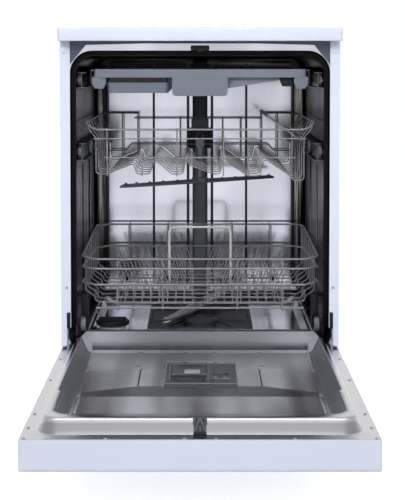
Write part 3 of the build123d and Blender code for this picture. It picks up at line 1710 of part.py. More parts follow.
def make_tray_frame():
    """Wire loop on each side of the tray, with the rear wheel stub and the front glide."""
    top = tray_top - 4 - wire_r
    low = top - 26.0
    y0 = tray_front + 30
    y1 = tray_rear - 14
    loop = wire(
        [(-frame_x, y0, low), (-frame_x, y1, low), (-frame_x, y1, top), (-frame_x, y0, top)],
        wire_r,
        closed=True,
    )
    pieces = [loop]
    rear_y = tray_wheel_ys[1]
    plate = block(-frame_x - 1.5, -frame_x + 1.5, rear_y - 10, rear_y + 10, low + wire_r, top - wire_r)
    stub = rod("x", (rear_y, tray_rail_z), wheel_outer, -frame_x, axle_r)
    shoulder = rod("x", (rear_y, tray_rail_z), wheel_inner + 0.8, -frame_x, axle_r + 3, 6)
    pieces.append(plate + stub + shoulder)
    glide_y = tray_wheel_ys[0]
    plate = block(-frame_x - 1.5, -frame_x + 1.5, glide_y - 14, glide_y + 14, low + wire_r, top - wire_r)
    boss = block(wheel_inner, -frame_x, glide_y - 12, glide_y + 12, tray_rail_z - 8, tray_rail_z + 8)
    low_z = tray_rail_z - tray_wheel_r
    high_z = tray_rail_z + tray_wheel_r
    glide = block(wheel_outer, wheel_inner, glide_y - 22, glide_y + 22, low_z, high_z)
    glide = chamfer(glide.edges().filter_by(Axis.X), 4.0)
    pieces.append(plate + boss + glide)
    return [piece for one in pieces for piece in both_sides(one)]


save("tray", make_tray())
save("tray_frame", *make_tray_frame())
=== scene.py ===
"""Freestanding dishwasher with its door open: finishes, pressed steel, wire racks and small mouldings."""

from math import atan2, cos, pi, radians, sin

import bmesh
import bpy
from mathutils import Matrix, Vector


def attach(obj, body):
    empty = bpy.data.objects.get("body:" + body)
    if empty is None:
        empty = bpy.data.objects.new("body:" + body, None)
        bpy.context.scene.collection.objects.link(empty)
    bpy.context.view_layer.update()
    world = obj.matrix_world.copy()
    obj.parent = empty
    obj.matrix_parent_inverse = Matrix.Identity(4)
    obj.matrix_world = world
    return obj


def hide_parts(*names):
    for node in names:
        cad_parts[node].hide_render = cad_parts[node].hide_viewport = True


bl_info = {
    "name": "Dishwasher Finish",
    "version": (1, 0, 0),
    "blender": (4, 5, 0),
    "location": "View3D > Sidebar > Dishwasher",
    "description": "Dresses a freestanding dishwasher in its steel, wire, rubber and mouldings",
    "category": "Object",
}

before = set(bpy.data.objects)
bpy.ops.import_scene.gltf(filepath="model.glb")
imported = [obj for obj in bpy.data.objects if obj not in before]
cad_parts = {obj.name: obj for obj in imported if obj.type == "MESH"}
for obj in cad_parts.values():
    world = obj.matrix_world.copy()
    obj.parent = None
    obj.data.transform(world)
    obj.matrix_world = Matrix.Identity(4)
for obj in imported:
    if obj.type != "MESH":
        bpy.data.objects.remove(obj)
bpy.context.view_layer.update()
MM = 0.001


# Sizes that the pieces share, in millimetres
INNER_FACE = 158.0
RECESS_FLOOR = 145.0
TUB_FLOOR = 178.0
BACK_WALL = 569.0
FLANGE_Y = 48.0
CENTRE_Y = 316.5
COLLAR_HALF = 277.0
COLLAR_TOP = 797.0
COLLAR_LOW = 202.0
UPPER_RAIL_Z = 576.5
TRAY_RAIL_Z = 733.0
UPPER_WHEEL_YS = (275.0, 510.0)
# Between the middles of two wires welded side by side, and of a rim and the wire on it
WELD = 4.15
RIM_WELD = 4.65


class FinishSizes(bpy.types.PropertyGroup):
    wire_radius: bpy.props.FloatProperty(
        name="Wire Radius", description="Radius of the racks' wires", default=0.0015, unit="LENGTH"
    )
    rim_radius: bpy.props.FloatProperty(
        name="Rim Radius", description="Radius of the racks' rim wires", default=0.0022, unit="LENGTH"
    )
    prong_radius: bpy.props.FloatProperty(
        name="Prong Radius", description="Radius of the plate prongs", default=0.0014, unit="LENGTH"
    )
    bend_radius: bpy.props.FloatProperty(
        name="Bend Radius", description="Inner radius of the bends in a wire", default=0.007, unit="LENGTH"
    )
    sheet: bpy.props.FloatProperty(
        name="Sheet", description="Thickness of the pressed steel", default=0.0008, unit="LENGTH"
    )


class FinishColours(bpy.types.PropertyGroup):
    enamel: bpy.props.FloatVectorProperty(
        name="Enamel", description="Colour of the cabinet's enamel", subtype="COLOR", size=3,
        default=(0.72, 0.765, 0.90)
    )
    moulding: bpy.props.FloatVectorProperty(
        name="Moulding", description="Colour of the tray and the grey mouldings", subtype="COLOR", size=3,
        default=(0.182, 0.200, 0.252)
    )
    coating: bpy.props.FloatVectorProperty(
        name="Coating", description="Colour of the nylon coat on the wires", subtype="COLOR", size=3,
        default=(0.265, 0.262, 0.28)
    )
    slate: bpy.props.FloatVectorProperty(
        name="Slate", description="Colour of the upper arm and the riser", subtype="COLOR", size=3,
        default=(0.062, 0.069, 0.086)
    )


# Shader expressions


class Value:
    """A number or colour inside a material, used in sums like any number."""

    def __init__(self, shades, socket):
        self.shades = shades
        self.socket = socket

    def sum(self, operation, *others):
        sockets = {0: self, **dict(enumerate(others, 1))}
        return self.shades.value("ShaderNodeMath", sockets, operation=operation)

    def __add__(self, other):
        return self.sum("ADD", other)

    __radd__ = __add__

    def __mul__(self, other):
        return self.sum("MULTIPLY", other)

    __rmul__ = __mul__

    def __sub__(self, other):
        return self.sum("SUBTRACT", other)

    def __rsub__(self, other):
        return self.sum("MULTIPLY_ADD", -1.0, other)

    def __truediv__(self, other):
        return self.sum("DIVIDE", other)

    def __abs__(self):
        return self.sum("ABSOLUTE")

    def least(self, other):
        return self.sum("MINIMUM", other)

    def most(self, other):
        return self.sum("MAXIMUM", other)

    def step(self, low, high):
        """Rises smoothly from 0 at low to 1 at high."""
        sockets = {0: self, 1: low, 2: high, 3: 0.0, 4: 1.0}
        return self.shades.value("ShaderNodeMapRange", sockets, interpolation_type="SMOOTHSTEP")

    def until(self, low, high):
        """Falls smoothly from 1 at low to 0 at high."""
        return 1.0 - self.step(low, high)


def add_node(tree, kind, sockets=None, **settings):
    """Any node: its settings first, then the values or links of its sockets."""
    made = tree.nodes.new(kind)
    for key, value in settings.items():
        setattr(made, key, value)
    for key, value in (sockets or {}).items():
        if isinstance(value, bpy.types.NodeSocket):
            tree.links.new(value, made.inputs[key])
        else:
            made.inputs[key].default_value = value
    return made


class Shades:
    """The nodes of one material or of the world."""

    def __init__(self, owner):
        owner.use_nodes = True
        self.owner = owner
        self.tree = owner.node_tree
        self.tree.nodes.clear()

    def node(self, kind, sockets=None, **settings):
        """A node whose sockets may take a Value too."""
        sources = {}
        for key, value in (sockets or {}).items():
            sources[key] = value.socket if isinstance(value, Value) else value
        return add_node(self.tree, kind, sources, **settings)

    def value(self, kind, sockets=None, output=0, **settings):
        """What one output of a new node gives."""
        return Value(self, self.node(kind, sockets, **settings).outputs[output])

    def place(self, stretch=(1.0, 1.0, 1.0)):
        """Object coordinates in metres, stretched along each axis."""
        where = self.value("ShaderNodeTexCoord", output="Object")
        return self.value("ShaderNodeMapping", {"Vector": where, "Scale": stretch})

    def axes(self):
        """The three object coordinates as separate numbers."""
        split = self.node("ShaderNodeSeparateXYZ", {0: self.place()})
        return [Value(self, out) for out in split.outputs]

    def noise(self, scale, stretch=(1.0, 1.0, 1.0), detail=3.0, rough=0.5):
        sockets = {"Vector": self.place(stretch), "Scale": scale, "Detail": detail, "Roughness": rough}
        return self.value("ShaderNodeTexNoise", sockets)

    def blend(self, factor, dark, light):
        """A colour between two colours, each a Value or three numbers."""
        dark, light = (c if isinstance(c, Value) else (*c, 1.0) for c in (dark, light))
        return self.value("ShaderNodeMix", {0: factor, 6: dark, 7: light}, output=2, data_type="RGBA")

    def bump(self, height, distance, strength):
        return self.value("ShaderNodeBump", {"Height": height, "Distance": distance, "Strength": strength})

    def ray(self, kind):
        """1 for rays of one kind, such as the camera's, and 0 for all others."""
        return self.value("ShaderNodeLightPath", output=f"Is {kind} Ray")

    def end(self, shader, output="ShaderNodeOutputMaterial"):
        """Joins the last shader to the output."""
        self.node(output, {"Surface": shader.outputs[0]})
        return self.owner

    def finish(self, **sockets):
        """The surface itself. Names use _ for a space."""
        spaced = {key.replace("_", " "): value for key, value in sockets.items()}
        return self.end(self.node("ShaderNodeBsdfPrincipled", spaced))


def tint(colour, factor):
    """A colour made lighter or darker. A word stands for the panel's colour of that name."""
    if isinstance(colour, str):
        colour = getattr(bpy.context.scene.dishwasher_colours, colour)
    return [min(1.0, c * factor) for c in colour]


def grained(s, dark, light, drift, grain, rough, bump, gloss=0.5, metal=0.0, over=None):
    """A coat or moulding that drifts between two tones and has a fine grain.

    Drift and grain are (scale, detail), rough is (least, range) and bump is (height, strength).
    Over, a pair of mask and colour, is laid on last."""
    tone = s.blend(s.noise(drift[0], detail=drift[1]), dark, light)
    if over:
        tone = s.blend(over[0], tone, over[1])
    relief = s.noise(grain[0], detail=grain[1])
    return s.finish(
        Base_Color=tone,
        Metallic=metal,
        Roughness=rough[0] + rough[1] * relief,
        Normal=s.bump(relief, *bump),
        Specular_IOR_Level=gloss,
    )


def enamel(s):
    """Powder-coated sheet: nearly even, with a faint orange peel."""
    dark, light = tint("enamel", 0.985), tint("enamel", 1.01)
    return grained(s, dark, light, (6.0, 2.0), (900.0, 2.0), (0.33, 0.06), (0.00006, 0.5), gloss=0.45)


def laminate(s):
    """Melamine worktop with a fine pore."""
    dark, light = tint("enamel", 0.99), tint("enamel", 1.015)
    return grained(s, dark, light, (9.0, 3.0), (1500.0, 3.0), (0.42, 0.1), (0.00008, 0.5))


def white_moulding(s):
    """Satin white plastic."""
    dark, light = tint("enamel", 0.975), tint("enamel", 1.0)
    return grained(s, dark, light, (14.0, 3.0), (2200.0, 2.0), (0.38, 0.1), (0.00004, 0.5))


def steel(s, stretch, tone, rough):
    """Brushed stainless sheet, with fine lines along the axis that is stretched least."""
    lines = s.noise(3200.0, stretch, detail=2.0)
    haze = s.noise(4.0, detail=1.0)
    return s.finish(
        Base_Color=s.blend(0.5 * lines + 0.5 * haze, tint(tone, 0.96), tint(tone, 1.04)),
        Metallic=1.0,
        Roughness=rough + 0.05 * lines + 0.03 * haze,
        Normal=s.bump(lines, 0.00001, 0.2),
    )


def tub_steel(s):
    """Polished sheet of the tub: pale back, floor and flange; the back is painted darker towards its top as
    shade, and the dark streaks on the walls and the dark ceiling are painted reflections.
    """
    x, y, z = s.axes()
    lines = s.noise(1600.0, (1.0, 1.0, 0.02), detail=2.0)
    wave = s.noise(46.0, (1.0, 1.0, 0.03), detail=3.0, rough=0.6)
    inside = y.step(0.0514, 0.0520) * z.step(0.188, 0.205).most(abs(x).step(0.246, 0.252))
    wall = abs(x).step(0.234, 0.242) * inside
    ceiling = z.step(0.742, 0.752) * inside
    across = s.noise(30.0, (0.05, 1.0, 1.0), detail=2.0).step(0.45, 0.70)
    cloud = s.noise(5.0, (1.0, 1.0, 0.5), detail=2.0).step(0.35, 0.65)
    # The back wall is painted darker towards its top: painted shade.
    low = s.blend(z.step(0.55, 0.75), (0.56, 0.57, 0.645), (0.47, 0.48, 0.545))
    pale = s.blend(0.7 * cloud + 0.3 * lines, low, (0.75, 0.765, 0.86))
    pale = s.blend(z.step(0.186, 0.190), (0.86, 0.86, 0.90), pale)
    # Dark streaks on the side walls and inside the collar: painted reflection.
    wall_painted_reflection = s.blend(wave.step(0.48, 0.68), (0.022, 0.022, 0.024), (0.30, 0.29, 0.285))
    # The ceiling is painted near black: painted reflection.
    ceiling_painted_reflection = s.blend(across, (0.018, 0.018, 0.020), (0.16, 0.155, 0.15))
    return s.finish(
        Base_Color=s.blend(ceiling, s.blend(wall, pale, wall_painted_reflection), ceiling_painted_reflection),
        Metallic=1.0,
        Roughness=0.10 + 0.04 * lines + 0.14 * wall.most(ceiling),
        Normal=s.bump(wave * wall * (1.0 - ceiling), 0.012, 1.0),
    )


def liner_steel(s):
    """Brushed sheet of the door, with painted light and shade: a painted highlight along the top of the rim's
    near face with painted shade below it, light floor streaks that are painted reflections, painted shade
    darkening the floor towards its ends and sides, its ramp, its creases, the recess walls and the lip's
    foot, and a satin wall at the hinge painted lighter towards its ends.
    """
    x, y, z = s.axes()
    reach = abs(x)
    lines = s.noise(3200.0, (0.03, 1.0, 1.0), detail=2.0)
    # Light streaks along the floor: painted reflections.
    floor_painted_reflection = s.noise(17.0, (1.0, 0.07, 1.0), detail=1.0).step(0.38, 0.72)
    face = y.until(-0.5320, -0.5300) * z.step(0.1584, 0.1592)
    floor = reach.until(0.2322, 0.2332) * y.step(-0.4880, -0.4865) * z.until(0.1530, 0.1545)
    shade = (0.75 * y.step(-0.080, 0.045)).most(0.7 * y.until(-0.4850, -0.4350))
    shade = floor * shade.most(0.5 * reach.step(0.155, 0.225))
    fold = -0.225 - 0.046 * ((reach - 0.120) / 0.105).most(0.0).least(1.0)
    # The floor's ramp is painted darker: painted shade.
    ramp = floor * y.step(-0.2860, -0.2830) * (y - fold).until(-0.0010, 0.0012)
    # The recess walls are painted darker: painted shade.
    wall = reach.step(0.2330, 0.2345).most(y.until(-0.4885, -0.4870)) * y.step(-0.5070, -0.5060)
    wall = wall * reach.until(0.2590, 0.2600) * z.until(0.1765, 0.1775)
    # A dark line along each pressed crease: painted shade.
    crease_painted_shade = abs(reach - 0.120).until(0.0009, 0.0020) * y.step(-0.228, -0.224) * y.until(-0.09, -0.086)
    lip = y.step(0.0600, 0.0605)
    # The lip's foot, where it meets the floor, is painted dark: painted shade.
    foot = y.step(0.0880, 0.0895) * z.until(0.1500, 0.1535)
    tone = s.blend(lines, (0.58, 0.58, 0.605), (0.62, 0.62, 0.645))
    for mask, colour in (
        # The rim's near face is painted dark low down and light at its top edge: painted shade below a
        # painted highlight.
        (face, s.blend(z.step(0.1700, 0.1768), (0.43, 0.43, 0.455), (0.86, 0.86, 0.89))),
        (floor, s.blend(floor_painted_reflection, (0.54, 0.545, 0.57), (0.92, 0.92, 0.95))),
        (shade, (0.27, 0.275, 0.30)),
        (ramp, (0.30, 0.305, 0.33)),
        (wall, (0.36, 0.365, 0.395)),
        (crease_painted_shade, (0.10, 0.10, 0.11)),
        # The lip is painted lighter towards its ends: painted light.
        (lip, s.blend(reach.step(0.09, 0.22), (0.66, 0.67, 0.71), (0.86, 0.87, 0.91))),
        (foot, (0.15, 0.15, 0.17)),
    ):
        tone = s.blend(mask, tone, colour)
    return s.finish(
        Base_Color=tone,
        Metallic=1.0 - floor * (0.08 + 0.14 * floor_painted_reflection),
        Roughness=0.20 + 0.05 * lines + 0.26 * wall.most(lip),
        Normal=s.bump(lines, 0.00001, 0.2),
    )


def zinc(s):
    """Zinc plating with its faint spangle."""
    flake = s.value("ShaderNodeTexVoronoi", {"Vector": s.place(), "Scale": 160.0}, output="Distance")
    return s.finish(
        Base_Color=s.blend(flake, (0.42, 0.43, 0.45), (0.55, 0.56, 0.58)),
        Metallic=1.0,
        Roughness=0.34 + 0.14 * flake,
    )


def blue_grey(s):
    """Coated blue-grey sheet of the front frame and the rear panel."""
    dark, light = (0.070, 0.083, 0.115), (0.085, 0.100, 0.135)
    return grained(s, dark, light, (12.0, 3.0), (1100.0, 2.0), (0.42, 0.08), (0.00005, 0.5), metal=0.35)


def coated_wire(s):
    """Nylon-coated wire: satin grey with a slightly pebbled coat."""
    dark, light = tint("coating", 0.9), tint("coating", 1.08)
    return grained(s, dark, light, (40.0, 3.0), (750.0, 2.0), (0.36, 0.12), (0.0001, 0.35), gloss=0.6)


def moulding(s, colour, rough, gloss=0.5, over=None):
    """A moulded plastic with fine spark-eroded grain and slight drift of tone."""
    dark, light = tint(colour, 0.92), tint(colour, 1.06)
    grain = (1400.0, 3.0)
    return grained(s, dark, light, (18.0, 3.0), grain, (rough, 0.12), (0.00007, 0.5), gloss, over=over)


def tray_moulding(s):
    """The tray's moulding, with a near-black strip painted along the top of its trough's front: painted shade
    standing for a slot.
    """
    x, y, z = s.axes()
    # A near-black strip where a slot would be: painted shade.
    slot = x.step(-0.2030, -0.2020) * x.until(-0.0700, -0.0690) * y.until(0.1190, 0.1195)
    slot = slot * z.step(0.7275, 0.7280) * z.until(0.7384, 0.7388)
    return moulding(s, "moulding", 0.4, over=(slot, (0.006, 0.006, 0.008)))


def rubber(s):
    """Black rubber with a dusty bloom."""
    dark, light = (0.004, 0.004, 0.005), (0.009, 0.009, 0.011)
    return grained(s, dark, light, (60.0, 4.0), (1800.0, 3.0), (0.55, 0.15), (0.00008, 0.5), gloss=0.14)


def smoked_glass(s):
    """Dark tinted display window."""
    haze = s.noise(80.0)
    return s.finish(
        Base_Color=s.blend(haze, (0.012, 0.013, 0.016), (0.018, 0.019, 0.022)),
        Roughness=0.06 + 0.05 * haze,
        Coat_Weight=0.6,
    )


def circuit(s):
    """Lacquered green board with fine traces."""
    x, y, _ = s.axes()
    rows = (x * 500.0).sum("FRACT").sum("GREATER_THAN", 0.72)
    traces = rows * (y * 260.0).sum("FRACT").sum("GREATER_THAN", 0.35)
    return s.finish(
        Base_Color=s.blend(traces, (0.01, 0.07, 0.03), (0.03, 0.14, 0.06)),
        Roughness=0.28 + 0.1 * s.noise(300.0),
    )


# Stretch of the brush lines, tone and roughness
STEELS = {
    # Near-black steel of the back wall's beads: painted shade.
    "bead_steel": ((1.0, 1.0, 0.03), (0.075, 0.073, 0.078), 0.28),
    # Nearly white steel of the floor's edge beads: painted highlight.
    "edge_steel": ((1.0, 0.05, 1.0), (0.92, 0.92, 0.94), 0.30),
    "arm_steel": ((0.4, 0.4, 1.0), (0.60, 0.60, 0.62), 0.24),
    "rail_steel": ((1.0, 0.03, 1.0), (0.16, 0.16, 0.17), 0.3),
}
# Colour, roughness and, where it isn't the usual one, gloss
MOULDINGS = {
    "grey_moulding": ("moulding", 0.4),
    "slate_moulding": ("slate", 0.36),
    "dark_moulding": ((0.012, 0.013, 0.016), 0.38, 0.22),
    "charcoal_moulding": ((0.040, 0.044, 0.054), 0.42, 0.35),
    "dispenser_moulding": ((0.085, 0.09, 0.105), 0.26),
    "light_moulding": ((0.42, 0.43, 0.47), 0.34),
    "border_moulding": ((0.23, 0.24, 0.27), 0.34),
    "handle_moulding": ((0.62, 0.61, 0.60), 0.34),
}
OWN_FINISHES = (
    enamel, laminate, white_moulding, tub_steel, liner_steel, zinc, blue_grey, coated_wire, tray_moulding,
    rubber, smoked_glass, circuit,
)
finishes = {}


def finish_of(name):
    """The material of one finish, made once."""
    if name not in finishes:
        s = Shades(bpy.data.materials.new(name))
        if name in STEELS:
            finishes[name] = steel(s, *STEELS[name])
        elif name in MOULDINGS:
            finishes[name] = moulding(s, *MOULDINGS[name])
        else:
            finishes[name] = {maker.__name__: maker for maker in OWN_FINISHES}[name](s)
    return finishes[name]

# The finish of each node whose shape the scene keeps
NODE_FINISH = {
    node: finish
    for finish, nodes in {
        "laminate": ["worktop"],
        "enamel": ["side_panels", "door_skin"],
        "white_moulding": ["control_panel", "plinth", "power_button", "program_button", "start_button"],
        "blue_grey": ["rear_panel", "front_frame"],
        "tub_steel": ["tub"],
        "zinc": ["hinge_brackets", "hinge_arms", "rail_axles"],
        "rail_steel": ["upper_rails", "tray_rails"],
        "charcoal_moulding": ["base_tray", "door_latch", "sump", "filter_plate", "filter_cup", "tray_frame"],
        "dark_moulding": ["levelling_feet", "latch_striker", "salt_cap", "pumps", "wheel_clips"],
        "slate_moulding": ["feed_duct", "spray_manifold"],
        "light_moulding": ["softener", "inlet_valve", "air_break"],
        "tray_moulding": ["tray"],
        "dispenser_moulding": ["dispenser_body", "detergent_lid", "rinse_flap"],
        "grey_moulding": ["cup_shelf"],
        "smoked_glass": ["display_window"],
        "circuit": ["control_board"],
    }.items()
    for node in nodes
}


# Mesh helpers


def put_material(piece, finish):
    piece.data.materials.clear()
    piece.data.materials.append(finish_of(finish))


def add(name, data):
    """A new object in the scene."""
    made = bpy.data.objects.new(name, data)
    bpy.context.scene.collection.objects.link(made)
    return made


def add_mesh(name, points, edges=(), faces=()):
    """A new mesh object from points in millimetres."""
    mesh = bpy.data.meshes.new(name)
    mesh.from_pydata([[c * MM for c in p] for p in points], edges, faces)
    return add(name, mesh)


def smooth(piece, crisp):
    """Smooth faces, where edges steeper than crisp degrees stay sharp. 0 makes every face flat."""
    piece.data.set_sharp_from_angle(angle=radians(crisp))


def make_piece(name, parts, finish, body, replaces=(), crisp=40.0, wall=0.0):
    """A mesh piece from (points, faces) pairs in millimetres, riding on its body."""
    points, faces = joined(parts)
    piece = add_mesh(name, points, faces=faces)
    piece.data.validate()
    if wall:
        solid = piece.modifiers.new("wall", "SOLIDIFY")
        solid.thickness = wall
        solid.offset = -1.0
        apply_modifiers(piece)
    smooth(piece, crisp)
    return settle(piece, finish, body, replaces)


def joined(parts):
    """One (points, faces) pair from several."""
    points, faces = [], []
    for more_points, more_faces in parts:
        start = len(points)
        points.extend(more_points)
        faces.extend([[i + start for i in face] for face in more_faces])
    return points, faces


def settle(piece, finish, body, replaces=()):
    """Gives a finished piece its material, its body and what it stands for."""
    put_material(piece, finish)
    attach(piece, body)
    if replaces:
        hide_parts(*replaces)
    return piece


def apply_modifiers(piece):
    """Turns the evaluated object into its plain mesh."""
    graph = bpy.context.evaluated_depsgraph_get()
    graph.update()
    mesh = bpy.data.meshes.new_from_object(piece.evaluated_get(graph), depsgraph=graph)
    old = piece.data
    piece.modifiers.clear()
    piece.data = mesh
    bpy.data.meshes.remove(old)
    mesh.name = piece.name
    return piece


def grid_faces(rows, columns, closed=False):
    """Quads of a grid of points stored row by row. Closed joins the last column to the first."""
    faces = []
    for i in range(rows - 1):
        for j in range(columns if closed else columns - 1):
            a = i * columns + j
            b = i * columns + (j + 1) % columns
            faces.append([a, b, b + columns, a + columns])
    return faces


def lathe(profile, steps=32):
    """A turned shape about X from (x, radius) pairs, closed at both ends."""
    angles = [2 * pi * k / steps for k in range(steps)]
    return loft([[(x, r * cos(angle), r * sin(angle)) for angle in angles] for x, r in profile])


def moved(part, offset=(0, 0, 0), turn=Matrix.Identity(3)):
    """A (points, faces) pair turned by a matrix and moved."""
    points, faces = part
    return [tuple(turn @ Vector(p) + Vector(offset)) for p in points], faces


def pair(part):
    """A part and its mirror image on the other side of the machine."""
    points, faces = part
    return [part, ([(-x, y, z) for x, y, z in points], [face[::-1] for face in faces])]


def share_of(value, low, high):
    """How far a value is from low to high, kept between 0 and 1."""
    return min(1.0, max(0.0, (value - low) / (high - low)))


def slope(value, low, high):
    """The same share, eased in and out."""
    share = share_of(value, low, high)
    return share * share * (3 - 2 * share)


def across(half):
    """A run of points from the mirror image of a half's end, through the middle, to that end."""
    return [(-x, y, z) for x, y, z in half[::-1]] + half


def loft(rings, closed=True, caps=True):
    """A skin over rings of equal length."""
    count = len(rings[0])
    points = [p for ring in rings for p in ring]
    faces = grid_faces(len(rings), count, closed)
    if caps:
        faces.append(list(range(count))[::-1])
        faces.append(list(range(len(points) - count, len(points))))
    return points, faces


def bevelled(part, round_by, segments=2):
    """A (points, faces) pair with every edge rounded."""
    made = bmesh.new()
    corners = [made.verts.new(p) for p in part[0]]
    for face in part[1]:
        made.faces.new([corners[i] for i in face])
    bmesh.ops.bevel(made, geom=made.edges[:], offset=round_by, segments=segments, affect="EDGES", profile=0.5)
    bmesh.ops.recalc_face_normals(made, faces=made.faces[:])
    made.verts.index_update()
    points = [tuple(v.co) for v in made.verts]
    faces = [[v.index for v in face.verts] for face in made.faces]
    made.free()
    return points, faces


def bevelled_box(x0, x1, y0, y1, z0, z1, round_by=1.0, segments=2):
    """A box with rounded edges."""
    rings = [[(x0, y0, z), (x1, y0, z), (x1, y1, z), (x0, y1, z)] for z in (z0, z1)]
    return bevelled(loft(rings), round_by, segments)


# Geometry node trees

WIRE_SIDES = 8


def new_tree(name, inputs):
    """A tree with a geometry input, named inputs and a geometry output."""
    tree = bpy.data.node_groups.new(name, "GeometryNodeTree")
    for label, kind in {"Geometry": "Geometry", **inputs}.items():
        tree.interface.new_socket(label, in_out="INPUT", socket_type="NodeSocket" + kind)
    tree.interface.new_socket("Geometry", in_out="OUTPUT", socket_type="NodeSocketGeometry")
    return tree


def wire_tree():
    """Bends each run of edges round its corners and gives it a round section."""
    if "bent wire" in bpy.data.node_groups:
        return bpy.data.node_groups["bent wire"]
    tree = new_tree("bent wire", {
        "Wire Radius": "Float", "Bend Radius": "Float", "Sides": "Int", "Finish": "Material"
    })
    start = tree.nodes.new("NodeGroupInput").outputs
    line = add_node(tree, "GeometryNodeMeshToCurve", {0: start["Geometry"]})
    bent = add_node(tree, "GeometryNodeFilletCurve", {
        "Curve": line.outputs[0], "Count": 3, "Radius": start["Bend Radius"], "Limit Radius": True
    }, mode="POLY")
    section = add_node(tree, "GeometryNodeCurvePrimitiveCircle", {
        "Resolution": start["Sides"], "Radius": start["Wire Radius"]
    })
    tube = add_node(tree, "GeometryNodeCurveToMesh", {
        "Curve": bent.outputs[0], "Profile Curve": section.outputs[0], "Fill Caps": True
    })
    soft = add_node(tree, "GeometryNodeSetShadeSmooth", {0: tube.outputs[0]})
    close_tree(tree, soft, start)
    return tree


def close_tree(tree, last, start):
    """Ends a tree in plain geometry with its material."""
    real = add_node(tree, "GeometryNodeRealizeInstances", {0: last.outputs[0]})
    dressed = add_node(tree, "GeometryNodeSetMaterial", {0: real.outputs[0], "Material": start["Finish"]})
    add_node(tree, "NodeGroupOutput", {0: dressed.outputs[0]})


def grow(piece, tree, values):
    """Runs a tree on an object with named values, and keeps the result as its mesh."""
    modifier = piece.modifiers.new(tree.name, "NODES")
    modifier.node_group = tree
    for item in tree.interface.items_tree:
        if item.in_out == "INPUT" and item.name in values:
            modifier[item.identifier] = values[item.name]
    return apply_modifiers(piece)


def wire_mesh(runs, radius, bend, finish):
    """Runs of wire in millimetres as one mesh object. A run that ends at its first point is closed."""
    points, edges = [], []
    for run in runs:
        first = len(points)
        closed = run[0] == run[-1]
        points.extend(run[:-1] if closed else run)
        edges.extend((i, i + 1) for i in range(first, len(points) - 1))
        if closed:
            edges.append((len(points) - 1, first))
    values = {"Wire Radius": radius, "Bend Radius": bend, "Sides": WIRE_SIDES, "Finish": finish_of(finish)}
    return grow(add_mesh("runs", points, edges), wire_tree(), values)


def wire_piece(name, groups, finish, body, replaces=()):
    """One piece from groups of (runs, radius, bend radius), with the radii in metres."""
    first, *others = [wire_mesh(runs, radius, bend, finish) for runs, radius, bend in groups]
    whole = bmesh.new()
    for group in (first, *others):
        whole.from_mesh(group.data)
    whole.to_mesh(first.data)
    whole.free()
    for group in others:
        bpy.data.objects.remove(group)
    first.name = name
    first.data.name = name
    return settle(first, finish, body, replaces)


def repeat_tree():
    """Sets a pattern on each point of a mesh, turned one way."""
    if "set on points" in bpy.data.node_groups:
        return bpy.data.node_groups["set on points"]
    tree = new_tree("set on points", {"Pattern": "Object", "Turn": "Vector", "Finish": "Material"})
    start = tree.nodes.new("NodeGroupInput").outputs
    pattern = add_node(tree, "GeometryNodeObjectInfo", {"Object": start["Pattern"]})
    spots = add_node(tree, "GeometryNodeInstanceOnPoints", {
        "Points": start["Geometry"], "Instance": pattern.outputs["Geometry"], "Rotation": start["Turn"]
    })
    close_tree(tree, spots, start)
    return tree


def repeated(name, spots, pattern, turn, finish, body, replaces=()):
    """Copies of a (points, faces) pattern at spots in millimetres, each turned by the same degrees."""
    mould = add_mesh("pattern", pattern[0], faces=pattern[1])
    piece = add_mesh(name, spots)
    values = {"Pattern": mould, "Turn": [radians(a) for a in turn], "Finish": finish_of(finish)}
    grow(piece, repeat_tree(), values)
    bpy.data.objects.remove(mould)
    smooth(piece, 40.0)
    return settle(piece, finish, body, replaces)


# Door liner

RIM_FAR = 60.0
FLOOR_HALF = 238.0
FLOOR_NEAR = -489.0
KINK_Y = -356.0
KINK_LENGTH = 15.0
SIDE_YS = [
    RIM_FAR, 30.0, -40.0, -120.0, -200.0, -270.0, -320.0, -345.0, -354.0, -356.0, -357.0, -363.0, -370.0,
    -371.0, -373.0, -385.0, -410.0, -440.0,
]
FLOOR_FAR = 94.0
FLOOR_GRID = 2.0
DISPENSER_HOLE = ((-64.0, 68.0), (-226.0, -60.0))
RAISE = 4.0
CREASE_X = 120.0
CREASE_DEPTH = 1.6
LATCH_SLOT_HALF = 11.0


def u_loop(half_x, near, corner, z, bulge=0.0):
    """A loop of the rim: down the right side, along the near end and back up the left side."""
    right = []
    for y in [*SIDE_YS, near + corner]:
        right.append((half_x, y))
    for k in range(1, 10):
        angle = pi / 2 * k / 9
        right.append((half_x - corner * (1 - cos(angle)), near + corner * (1 - sin(angle))))
    for k in range(1, 8):
        right.append(((half_x - corner) * (1 - k / 8), near))
    right += [(LATCH_SLOT_HALF, near), (0.0, near)]
    swelled = [(x + bulge * share_of(y, KINK_Y - KINK_LENGTH, KINK_Y), y, z) for x, y in right]
    left = [(-x, y, z) for x, y, z in swelled[:-1]]
    return swelled + left[::-1]


